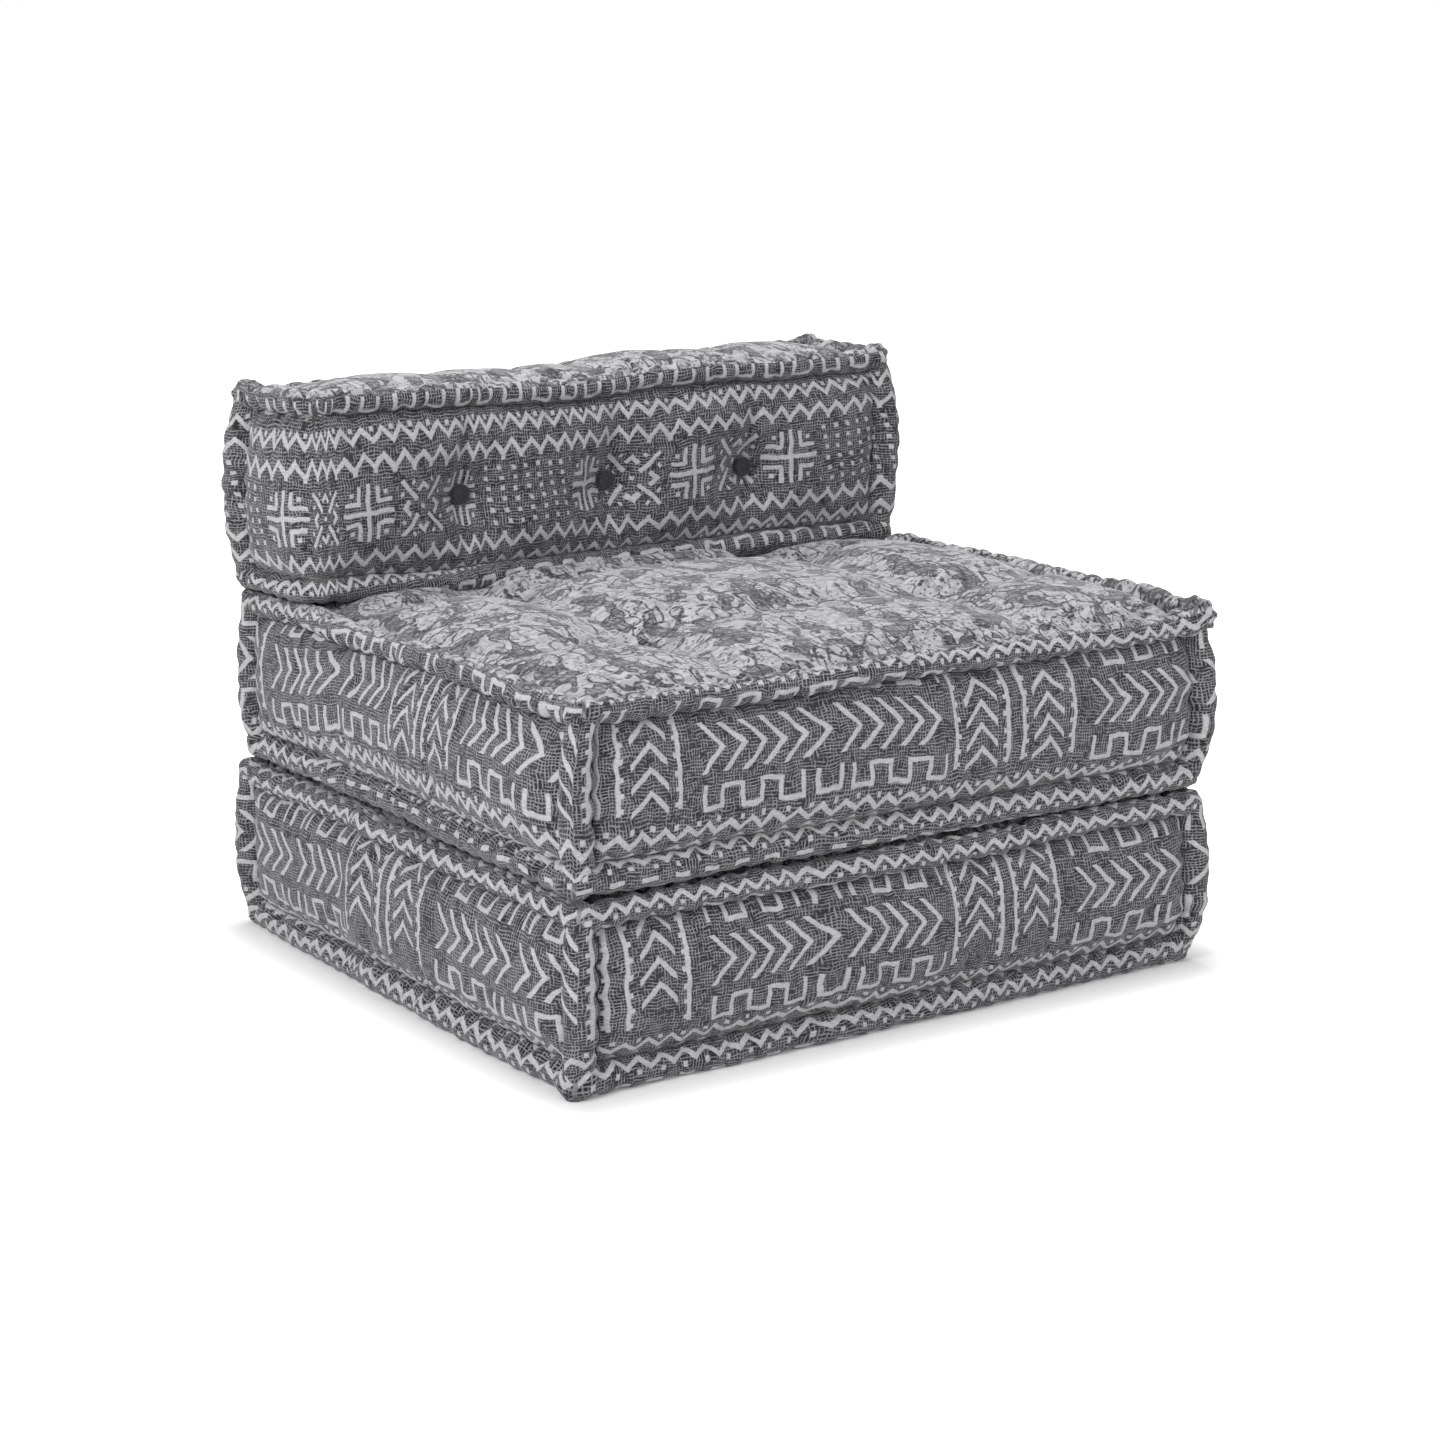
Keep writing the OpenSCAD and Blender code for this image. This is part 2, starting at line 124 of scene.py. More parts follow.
def strongest(add, *inks):
    return functools.reduce(functools.partial(add, "MAXIMUM"), inks)


def apart(add, value, at):
    return add("ABSOLUTE", add("SUBTRACT", value, at))


# Strip of figures on the borders of base and seat, the same above and below its middle
# line; a zigzag row has its foot, its height, the line of its dots and whether the dots
# stand at its feet
bandPrint = {
    "repeat": 500,
    "firstBar": -11,
    "ladders": (34.7, 444.5),  # middles of the columns between two toothed bars
    "ladderHalf": 34.6,
    "barRise": (-57, 63),
    "toothPitch": 16.4,
    "toothReach": 6,
    "caretPitch": 23.8,
    "caretReach": 21,
    "caretFoot": 36.5,
    "chevronTip": 125,
    "chevronPitch": 24.7,
    "chevronReach": 25,
    "chevronRun": 142,
    "chevronGap": 11.9,  # after the first run the heads start anew
    "keyMiddle": 246.5,
    "keyCell": 23.75,
    "keyInner": 39,
    "keyOuter": 61,
    "keyGap": 4,
    "zigzag": 27,
    "innerRow": (74, 10.5, 72, False),
    "outerRow": (94, 10, 108, True),
    "outerShift": 9,
    "dashLine": 120,
    "dashPitch": 38,
    "dashHalf": 9,
}


def zigzagRow(add, along, away, pitch, foot, tall, dotLine, dotsAtFoot):
    # a zigzag that stands off the middle line, with a row of dots
    steep = tall / (pitch / 2)
    saw = add("PINGPONG", along, pitch / 2)
    line = add("ABSOLUTE", add("SUBTRACT", add("MULTIPLY_ADD", saw, steep, foot), away))
    line = add("MULTIPLY", line, 1 / math.hypot(1, steep))
    aside = saw if dotsAtFoot else add("SUBTRACT", pitch / 2, saw)
    return nearest(add, line, add("MAXIMUM", aside, apart(add, away, dotLine)))


def bandFigures(add, along, up, caretsFrom=0):
    p = bandPrint
    u = add("WRAP", along, p["firstBar"] + p["repeat"], p["firstBar"])
    away = add("ABSOLUTE", up)
    # carets between toothed bars
    column = nearest(add, *(apart(add, u, middle) for middle in p["ladders"]))
    rise = add("ADD", add("ADD", up, column), p["caretFoot"])
    carets = add("MULTIPLY", add("PINGPONG", rise, p["caretPitch"] / 2), diagonal)
    span = [p["caretPitch"] * n for n in (caretsFrom - 0.46, caretsFrom + 3.53)]
    carets = onlyWhere(add, carets, (column, -1, p["caretReach"]), (rise, *span))
    bars = onlyWhere(add, apart(add, column, p["ladderHalf"]), (up, *p["barRise"]))
    teeth = add("PINGPONG", add("ADD", up, 3), p["toothPitch"] / 2)
    reach = (column, p["ladderHalf"] - p["toothReach"], p["ladderHalf"])
    teeth = onlyWhere(add, teeth, reach, (up, *p["barRise"]))
    # a run of arrow heads that point along the strip
    lead = add("SUBTRACT", add("ADD", u, away), p["chevronTip"])
    anew = add("GREATER_THAN", lead, p["chevronRun"])
    lead = add("SUBTRACT", lead, add("MULTIPLY", anew, p["chevronGap"]))
    arrows = add("MULTIPLY", add("PINGPONG", lead, p["chevronPitch"] / 2), diagonal)
    run = (lead, -10, 10 * p["chevronPitch"] + 10)
    arrows = onlyWhere(add, arrows, (away, -1, p["chevronReach"]), run)
    # a square key line that folds about the middle of the run
    cell = p["keyCell"]
    fold = apart(add, u, p["keyMiddle"])
    first = onlyWhere(add, apart(add, fold, cell / 2), (fold, 0, cell * 0.75))
    run = add("SUBTRACT", fold, p["keyGap"])
    posts = onlyWhere(add, add("PINGPONG", run, cell / 2), (run, cell * 0.8, cell * 6.1))
    posts = onlyWhere(add, nearest(add, first, posts), (away, p["keyInner"] - 2, p["keyOuter"] + 2))
    odd = add("FLOORED_MODULO", add("FLOOR", add("DIVIDE", run, cell)), 2)
    outer = add("MAXIMUM", odd, add("LESS_THAN", fold, cell / 2))
    rail = add("MULTIPLY_ADD", outer, p["keyOuter"] - p["keyInner"], p["keyInner"])
    gap = add("COMPARE", fold, cell * 0.84, cell * 0.34)
    rails = add("MULTIPLY_ADD", gap, offStroke, apart(add, away, rail))
    rails = onlyWhere(add, rails, (run, -cell, cell * 6.05))
    # zigzags along both edges, and dashes on the rolls
    inner = zigzagRow(add, along, away, p["zigzag"], *p["innerRow"])
    shifted = add("ADD", along, p["outerShift"])
    outer = zigzagRow(add, shifted, away, p["zigzag"], *p["outerRow"])
    dash = (add("PINGPONG", along, p["dashPitch"] / 2), 0, p["dashHalf"])
    dashes = onlyWhere(add, apart(add, away, p["dashLine"]), dash)
    return nearest(add, carets, bars, teeth, arrows, posts, rails, inner, outer, dashes)


# Strip of crosses and stars on the back cushion
crossPrint = {
    "repeat": 490,
    "pitch": 72,
    "barReach": 32,
    "angleAt": 12,
    "pipAt": 22,
    "armReach": (16, 60),
    "beadAside": 10,
    "beadPitch": 16,
    "tipAt": 26,
    "dotField": (364, 486),
    "dotPitch": (17, 12.5),
    "zigzag": 25,
    "innerRow": (46, 13, 44, True),
    "outerRow": (72, 13, 85, True),
    "boxPitch": 43,
    "boxHalf": 11.5,
    "boxRise": (104, 122),
}


def crossFigures(add, along, up):
    p = crossPrint
    u = add("WRAP", along, p["repeat"], 0)
    away = add("ABSOLUTE", up)
    across = apart(add, add("WRAP", u, p["pitch"], 0), p["pitch"] / 2)
    isStar = add("GREATER_THAN", add("FLOORED_MODULO", add("DIVIDE", u, p["pitch"]), 2), 1)
    low, high = add("MINIMUM", across, away), add("MAXIMUM", across, away)
    # cross of two bars with an angle and a dot in each corner
    bars = onlyWhere(add, low, (high, -1, p["barReach"]))
    angles = onlyWhere(add, apart(add, low, p["angleAt"]), (high, p["angleAt"] - 1, p["barReach"] - 2))
    pips = add("MAXIMUM", apart(add, low, p["pipAt"]), apart(add, high, p["pipAt"]))
    crosses = nearest(add, bars, angles, pips)
    # star of two slanted bars with dashes beside them
    reach = add("ADD", across, away)
    slant = add("MULTIPLY", add("SUBTRACT", high, low), diagonal)
    start, end = p["armReach"]
    arms = onlyWhere(add, slant, (reach, start, end))
    beads = add("PINGPONG", add("ADD", reach, 5), p["beadPitch"] / 2)
    beads = add("MAXIMUM", apart(add, slant, p["beadAside"]), beads)
    beads = onlyWhere(add, beads, (reach, start + 4, end - 2))
    tips = add("MULTIPLY", apart(add, reach, p["tipAt"]), diagonal)
    tips = onlyWhere(add, tips, (low, -1, 6))
    stars = nearest(add, arms, beads, tips, high)
    figures = add("MULTIPLY_ADD", isStar, add("SUBTRACT", stars, crosses), crosses)
    figures = onlyWhere(add, figures, (away, -1, p["barReach"] + 2), (u, 0, p["dotField"][0] - 4))
    # field of dots between two runs of figures
    wide, tall = p["dotPitch"]
    askew = add("ADD", add("MULTIPLY", up, 0.2), u)
    dots = add(
        "MAXIMUM",
        add("PINGPONG", askew, wide / 2),
        add("PINGPONG", add("ADD", up, tall / 2), tall / 2),
    )
    dots = onlyWhere(add, dots, (away, -1, 38), (u, *p["dotField"]))
    inner = zigzagRow(add, along, away, p["zigzag"], *p["innerRow"])
    outer = zigzagRow(add, along, away, p["zigzag"], *p["outerRow"])
    # open boxes on the rolls
    box = add("PINGPONG", along, p["boxPitch"] / 2)
    posts = onlyWhere(add, apart(add, box, p["boxHalf"]), (away, *p["boxRise"]))
    floor = onlyWhere(add, apart(add, away, p["boxRise"][0] + 1), (box, -1, p["boxHalf"]))
    return nearest(add, figures, dots, inner, outer, posts, floor)


# Handwoven look of the printed cotton: pale threads are broken over a dark ground,
# so it reads as a fine uneven grid; the print is soft edged and a little streaky.
# Sizes are in mm; a thread shows where its breaks are within its shown limits
cottonCloth = {
    "gap": "#1f1f21",
    "gapPale": "#343436",
    "cloud": (40, 14),
    "thread": "#929295",
    "threadPitch": 3.4,  # about three threads, which is as fine as the render shows
    "threadEdge": (0.15, 0.95),
    "threads": (  # weft and warp
        {"breaks": (9, 2.4), "faint": (26, 17), "shown": (0.68, 0.92)},
        {"breaks": (2.4, 9), "faint": (19, 28), "shown": (0.65, 0.88)},
    ),
    "crook": (22, 16),
    "crookBy": 1.8,  # in threads
    "sway": 9,
    "swaySizes": ((34, 27), (23, 38)),
    "print": "#c3c3c6",
    "printWorn": "#adadb0",
    "halfStroke": 2.45,
    "ragged": 2.6,
    "streak": (6, 1.6),
    "roughness": 0.9,
}

# Jacquard of pale yarn: blossoms and leaves are drawn by fine dark outlines, seeds and
# patches of slanted floats, and it is a little smoother than the cotton
jacquardCloth = {
    "pale": "#b8b8bb",
    "paleDeep": "#a0a0a3",
    "petal": "#c0c0c3",
    "middle": "#7e7e81",
    "line": "#2f2f32",
    "flower": 92,  # from one blossom to the next
    "petalSize": (0.27, 0.1),
    "petalPairs": 4,
    "petalLines": ((1.0, 0.06, 0.13), (0.58, 0.03, 0.08), (0.24, 0.06, 0.14)),
    "leaf": (46, 58),
    "patch": (31, 46),
    "patchFrom": (0.42, 0.435),
    "vein": (19, 29),
    "hatch": 5.6,
    "float": 13.0,
    "seed": 8.0,
    "sway": 13,
    "swaySizes": ((44, 44), (52, 38)),
    "roughness": 0.8,
}


def clothPlace(add, mapName):
    # place on the cloth in mm, from the piece's own flat map
    flat = add("ShaderNodeUVMap", uv_map=mapName)
    return add("ShaderNodeVectorMath", flat, named={"Scale": 1 / mm}, operation="SCALE")


def bothWays(add, place):
    split = add("ShaderNodeSeparateXYZ", place)
    return split.outputs["X"], split.outputs["Y"]


def grain(add, place, size, detail=2.0):
    # noise from about 0 to 1 on the cloth; size is in mm both ways
    scaled = add("ShaderNodeVectorMath", place, (1 / size[0], 1 / size[1], 1), operation="MULTIPLY")
    return add("ShaderNodeTexNoise", named={"Vector": scaled, "Scale": 1.0, "Detail": detail})


def swayed(add, place, look):
    # the cloth drawn aside in slow waves, so that no line on it runs true
    asides = [
        add("MULTIPLY", add("SUBTRACT", grain(add, place, size), 0.5), look["sway"])
        for size in look["swaySizes"]
    ]
    return add("ShaderNodeVectorMath", place, add("ShaderNodeCombineXYZ", *asides, 0), operation="ADD")


def soft(add, value, low, high):
    # 1 below low, 0 above high
    return add("ShaderNodeMapRange", value, low, high, 1.0, 0.0, interpolation_type="SMOOTHSTEP")


def overlay(add, colour, *coats):
    # colours laid over one another, each by its share
    for share, coat in coats:
        pair = [linear(c) if isinstance(c, str) else c for c in (colour, coat)]
        slots = dict(zip((0, 6, 7), (share, *pair)))  # those of a Mix node that mix colours
        colour = add("ShaderNodeMix", named=slots, data_type="RGBA").outputs[2]
    return colour


def cottonColour(add, figures, look=cottonCloth):
    # colour of the cloth, and height of its threads and print
    place = swayed(add, clothPlace(add, "clothMap"), look)
    along, up = bothWays(add, place)
    pitch = look["threadPitch"]
    crooked = grain(add, place, look["crook"])
    shown = []
    for across, thread in zip((up, along), look["threads"]):
        off = add("MULTIPLY_ADD", crooked, pitch * look["crookBy"], across)
        line = soft(add, add("PINGPONG", off, pitch / 2), *look["threadEdge"])
        faint = add("MULTIPLY", grain(add, place, thread["faint"]), 0.5)
        breaks = add("ADD", grain(add, place, thread["breaks"]), faint)
        shown.append(add("MULTIPLY", line, soft(add, breaks, *thread["shown"])))
    threads = strongest(add, *shown)
    cloud = soft(add, grain(add, place, look["cloud"]), 0.3, 0.7)
    cloth = overlay(add, look["gapPale"], (cloud, look["gap"]), (threads, look["thread"]))
    if figures is None:
        return cloth, threads
    ragged = add("MULTIPLY_ADD", grain(add, place, (look["ragged"],) * 2, 1.0), 1.2, -0.6)
    distance = add("ADD", figures(add, along, up), ragged)
    stroke = soft(add, distance, look["halfStroke"] - 0.5, look["halfStroke"] + 0.7)
    streak = soft(add, grain(add, place, look["streak"]), 0.34, 0.62)
    paint = overlay(add, look["print"], (streak, look["printWorn"]))
    height = add("ADD", add("MULTIPLY", threads, 0.6), add("MULTIPLY", stroke, 0.7))
    return overlay(add, cloth, (stroke, paint)), height


def drawBlossoms(add, bent, look):
    # petals with an outline, an eye and veins, about the middles of large cells
    size = 1 / look["flower"]
    cells = {"Vector": bent, "Scale": size, "Randomness": 0.7}
    cells = add("ShaderNodeTexVoronoi", named=cells, voronoi_dimensions="2D")
    scaled = add("ShaderNodeVectorMath", bent, named={"Scale": size}, operation="SCALE")
    aside = add("ShaderNodeVectorMath", scaled, cells.outputs["Position"], operation="SUBTRACT")
    x, y = bothWays(add, aside)
    turn = add("ARCTAN2", y, x)
    least, more = look["petalSize"]
    lobe = add("ABSOLUTE", add("SINE", add("MULTIPLY", turn, look["petalPairs"])))
    radius = add("ShaderNodeVectorMath", aside, operation="LENGTH").outputs["Value"]
    inPetal = add("DIVIDE", radius, add("MULTIPLY_ADD", lobe, more, least))
    ring, inner, eye = (soft(add, apart(add, inPetal, at), *edge) for at, *edge in look["petalLines"])
    parting = add("MULTIPLY", soft(add, lobe, 0.14, 0.34), add("COMPARE", inPetal, 0.62, 0.38))
    veins = add("ABSOLUTE", add("SINE", add("MULTIPLY", turn, 4 * look["petalPairs"])))
    veins = add("MULTIPLY", soft(add, veins, 0.15, 0.5), add("COMPARE", inPetal, 0.78, 0.1))
    lines = strongest(add, ring, add("MULTIPLY", inner, 0.7), eye, parting, veins)
    return soft(add, inPetal, 0.99, 1.03), lines


def jacquardColour(add, look=jacquardCloth):
    # colour of the cloth, and its dark marks
    place = clothPlace(add, "panelMap")
    bent = swayed(add, place, look)
    along, up = bothWays(add, bent)
    blossom, petalLines = drawBlossoms(add, bent, look)
    notBlossom = add("SUBTRACT", 1.0, blossom)
    # between the blossoms lie leaves: hatched patches with an outline, and thin stems
    patchField = grain(add, bent, look["patch"])
    patch = add("MULTIPLY", soft(add, patchField, *look["patchFrom"]), notBlossom)
    patchEdge = soft(add, apart(add, patchField, 0.43), 0.01, 0.024)
    slant = add("PINGPONG", add("MULTIPLY_ADD", up, 0.3, along), look["hatch"] / 2)
    across = add("PINGPONG", add("MULTIPLY_ADD", along, 0.2, up), look["float"] / 2)
    hatch = add("MAXIMUM", soft(add, slant, 0.5, 1.3), soft(add, across, 1.2, 2.6))
    hatch = add("MULTIPLY", add("MULTIPLY", hatch, 0.72), patch)
    stemField = add("MULTIPLY", grain(add, bent, look["leaf"], 1.0), 5)
    stems = soft(add, add("PINGPONG", stemField, 0.5), 0.06, 0.12)
    veinField = add("MULTIPLY", grain(add, bent, look["vein"], 1.0), 4)
    leafy = add("MULTIPLY_ADD", soft(add, grain(add, place, (60, 75), 1.0), 0.4, 0.6), 0.55, 0.4)
    leaves = add("MULTIPLY", soft(add, add("PINGPONG", veinField, 0.5), 0.05, 0.14), leafy)
    stems = add("MULTIPLY", strongest(add, stems, patchEdge, leaves), notBlossom)
    broken = soft(add, grain(add, place, (5, 3), 1.0), 0.45, 0.62)
    drawn = add("MAXIMUM", petalLines, stems)
    drawn = add("MULTIPLY", drawn, add("MULTIPLY_ADD", broken, 0.5, 0.5))
    # seeds dot the pale parts
    seeds = {"Vector": bent, "Scale": 1 / look["seed"], "Randomness": 0.7}
    seeds = add("ShaderNodeTexVoronoi", named=seeds, voronoi_dimensions="2D")
    seedField = soft(add, grain(add, place, (36, 40), 1.0), 0.5, 0.53)
    seed = add("MULTIPLY", soft(add, seeds.outputs["Distance"], 0.13, 0.22), seedField)
    # slubs and flecks of the yarn run across the cloth
    slub = soft(add, grain(add, place, (20, 6), 3.0), 0.42, 0.6)
    fleck = soft(add, grain(add, bent, (13, 8), 1.5), 0.37, 0.41)
    busy = add("MULTIPLY_ADD", soft(add, grain(add, place, (55, 45), 1.0), 0.42, 0.58), 0.5, 0.4)
    marks = strongest(add, drawn, add("MULTIPLY", seed, 0.8), hatch, add("MULTIPLY", fleck, busy))
    colour = overlay(
        add,
        look["pale"],
        (slub, look["paleDeep"]),
        (add("MULTIPLY", blossom, 0.7), look["petal"]),
        (add("MULTIPLY", patch, 0.75), look["middle"]),
        (marks, look["line"]),
    )
    return colour, marks


def finishCloth(made, add, colour, height, roughness, depth=0.6, fuzz=0.25):
    # fibres stand off every cloth here, so it is matte with a faint sheen; depth is in mm
    bump = {"Strength": 0.5, "Distance": depth * mm, "Height": height}
    shader = {
        "Base Color": colour,
        "Roughness": roughness,
        "Normal": add("ShaderNodeBump", named=bump),
        "Sheen Weight": fuzz,
        "Sheen Roughness": 0.5,
        "Specular IOR Level": 0.2,
    }
    add("ShaderNodeOutputMaterial", add("ShaderNodeBsdfPrincipled", named=shader))
    return made


def makeCotton(name, figures):
    made, add = newMaterial(name)
    return finishCloth(made, add, *cottonColour(add, figures), cottonCloth["roughness"])


def makeJacquard(name):
    made, add = newMaterial(name)
    colour, marks = jacquardColour(add)
    yarn = grain(add, clothPlace(add, "panelMap"), (5, 1.2), 1.0)
    height = add("SUBTRACT", yarn, add("MULTIPLY", marks, 0.8))
    return finishCloth(made, add, colour, height, jacquardCloth["roughness"], 0.5)


def makeRolledEdge(name, figures):
    # the roll is sewn from both cloths: the jacquard's cut edge lies ragged on the cotton
    made, add = newMaterial(name)
    cotton, height = cottonColour(add, figures)
    jacquard, _ = jacquardColour(add)
    place = clothPlace(add, "edgeMap")
    steps = add("MULTIPLY_ADD", grain(add, place, (7, 5)), 6.0, -3.0)
    _, rise = bothWays(add, place)
    side = soft(add, add("ADD", rise, steps), -0.3, 0.5)
    colour = overlay(add, jacquard, (side, cotton))
    return finishCloth(made, add, colour, height, cottonCloth["roughness"])


def makePlain(name, pale, deep, size, roughness):
    # brushed felt, carded fibre or laid twine: one hue with a soft uneven depth
    made, add = newMaterial(name)
    place = add("ShaderNodeTexCoord").outputs["Object"]
    noise = add("ShaderNodeTexNoise", named={"Vector": place, "Scale": 1 / (size * mm), "Detail": 5.0})
    colour = overlay(add, pale, (soft(add, noise, 0.35, 0.65), deep))
    return finishCloth(made, add, colour, noise, roughness, 0.8, 0.4)


lowFigures = functools.partial(bandFigures, caretsFrom=1)  # the base's strip is cut higher
cloths = {
    "low": makeCotton("printedCottonBandLow", lowFigures),
    "lowRoll": makeRolledEdge("printedCottonBandLowRolled", lowFigures),
    "band": makeCotton("printedCottonBand", bandFigures),
    "cross": makeCotton("printedCottonCross", crossFigures),
    "bandRoll": makeRolledEdge("printedCottonBandRolled", bandFigures),
    "crossRoll": makeRolledEdge("printedCottonCrossRolled", crossFigures),
    "plain": makeCotton("plainCotton", None),
    "jacquard": makeJacquard("jacquardWeave"),
    "felt": makePlain("pressedFelt", "#3c3c3e", "#2c2c2e", 2.0, 0.95),
    "wadding": makePlain("recycledCottonWadding", "#a5a39f", "#83817d", 9.0, 1.0),
    "twine": makePlain("waxedLinenTwine", "#d8d2c4", "#b3ab99", 0.8, 0.7),
}
print("cloths are mixed")


# Shapes. Everything below is in mm until a mesh is made
def lumps(a, b, size, seed):
    # smooth heights from -1 to 1 over a plane, about size apart, the same each run
    cells = 64
    lattice = np.random.default_rng(seed).uniform(-1, 1, (cells, cells))
    x, y = np.broadcast_arrays(np.asarray(a, float) / size, np.asarray(b, float) / size)
    i, j = np.floor(x).astype(int), np.floor(y).astype(int)
    s, t = x - i, y - j
    s, t = s * s * (3 - 2 * s), t * t * (3 - 2 * t)
    corner = lambda m, n: lattice[(i + m) % cells, (j + n) % cells]
    low = corner(0, 0) * (1 - s) + corner(1, 0) * s
    high = corner(0, 1) * (1 - s) + corner(1, 1) * s
    return low * (1 - t) + high * t


def swell(t, power=4.0):
    return np.sqrt(np.maximum(0, 1 - np.minimum(1, np.abs(t)) ** power))


def dip(distance, width):
    return np.exp(-((distance / width) ** 2))


def clad(name, mesh, material):
    mesh.polygons.foreach_set("use_smooth", [True] * len(mesh.polygons))
    mesh.materials.clear()
    mesh.materials.append(material)
    return newObject(name, mesh)


def cladForm(name, form, material):
    mesh = bpy.data.meshes.new(name)
    form.to_mesh(mesh)
    form.free()
    return clad(name, mesh, material)


def gridObject(name, points, maps, material, loops=(False, False), capped=False):
    # a sheet or tube from rows of points; a map has one more row or column round a loop
    rows, cols = points.shape[:2]
    faces, corners = [], []
    for j in range(rows if loops[0] else rows - 1):
        for i in range(cols if loops[1] else cols - 1):
            jj, ii = (j + 1) % rows, (i + 1) % cols
            faces.append((j * cols + i, j * cols + ii, jj * cols + ii, jj * cols + i))
            corners.append(((j, i), (j, i + 1), (j + 1, i + 1), (j + 1, i)))
    if capped:
        for row, around in ((0, range(cols)[::-1]), (rows - 1, range(cols))):
            faces.append(tuple(row * cols + i for i in around))
            corners.append(tuple((row, i) for i in around))
    mesh = bpy.data.meshes.new(name)
    mesh.from_pydata((points.reshape(-1, 3) * mm).tolist(), [], faces)
    index = np.array([c for face in corners for c in face])
    for mapName, values in maps.items():
        layer = mesh.uv_layers.new(name=mapName)
        j = np.minimum(index[:, 0], values.shape[0] - 1)
        i = np.minimum(index[:, 1], values.shape[1] - 1)
        layer.data.foreach_set("uv", (values[j, i] * mm).astype(np.float32).ravel())
    return clad(name, mesh, material)


# How the cushions are sewn, in mm
sewing = {
    "roll": 14,  # radius of an edge roll
    "seam": 14.3,
    "stitch": 28,
    "cloth": 1.5,
    "taller": {"base": 1.22, "seat": 1.16, "back": 1.0},  # how far its filling lifts a bottom roll
    # border cloth that is sewn away in the creases beside the top (True) and bottom rolls
    "tucked": {
        "base": {True: 8, False: 0},
        "seat": {True: 13, False: 2},
        "back": {True: 6, False: 17},
    },
    # where the jacquard starts on the top roll, as an angle over its middle
    "jacquardEdge": {"base": 1.5, "seat": 0.85, "back": 0.6},
    "bulge": 13,
    "cornerSwell": 2.5,
    "seatTufts": ((-195, -145), (-195, 145), (195, -145), (195, 145)),
    "backTufts": (-195, 0, 195),
    "backTuftHeight": 107,
    "tuftFlat": 13,
    "tuftSlope": 32,
    "tuftSink": 24,
    "backTuftSink": 26,
    "footLine": 197.5,  # front of the back cushion, which presses on the seat behind it
}

# Ears are how far the ends of a top (True) or bottom roll stand up at the corners, front
# left first and counterclockwise; a wide corner of the back cushion has none. A filled
# cushion doesn't keep to its box: lean is how far each corner stands off it along x and y,
# belly how far each side does between them, at the foot, halfway up and at the top.
# Raised lifts the corners of the top and then the middle of its right half
cushions = {
    "base": {
        "half": (400, 367.5),
        "centre": (0, 0),
        "low": 0,
        "tall": 200,
        "wrapped": False,
        "ears": {True: (0, 0, 0, 0), False: (0.35, 0, 0, 0)},
        "seed": 11,
        "print": "low",
        "cornerPrint": 462,
        "lean": (
            ((-19, -4), (5, -1), (6, 6), (-6, 11)),
            ((-17, -8), (11, -11), (9, 9), (-11, 11)),
            ((-13, -4), (10, -10), (8, 8), (-12, 12)),
        ),
        "belly": ((3, 3, 3, 6), (3, 3, 3, 3), (0, 0, 0, 0)),
        "raised": ((0, 0, 0, 0), 0),
    },
    "seat": {
        "half": (400, 367.5),
        "centre": (0, 0),
        "low": 200.3,
        "tall": 200,
        "wrapped": False,
        "ears": {True: (0.15, 1, 0, 0.1), False: (0, 0, 0, 0)},
        "seed": 23,
        "print": "band",
        "cornerPrint": 462,
        "lean": (
            ((-18, -3), (7, -7), (6, 6), (-2, 2)),
            ((-17, -3), (12, -12), (9, 9), (-4, 4)),
            ((-2, 0), (8, -8), (6, 6), (-4, 4)),
        ),
        "belly": ((0, 0, 0, 0), (2, 3, 3, 3), (0, 0, 0, 0)),
        "raised": ((0, 0, 0, 0), 20),
    },
    "back": {
        "half": (400, 85),
        "centre": (0, 282.5),
        "low": 400.6,
        "tall": 240,
        "wrapped": True,
        "ears": {True: (0, 0.3, 0.5, 0.6), False: (0, 0, 0, 0)},
        "seed": 37,
        "print": "cross",
        "lean": (
            ((0, 0), (13, 0), (8, 4), (-8, 8)),
            ((-2, 0), (12, 0), (9, 6), (-11, 11)),
            ((0, 0), (2, 0), (2, 2), (-3, 2)),
        ),
        "belly": ((0, 0, 0, 0), (0, 2, 4, 2), (0, 0, 0, 0)),
        "raised": ((-3, 1, 0, -9), 0),
        "sag": (-85, 95, 8),  # of the top: place along it, reach and depth
    },
}


def turned(x, y, side):
    for _ in range(side):
        x, y = -y, x
    return x, y


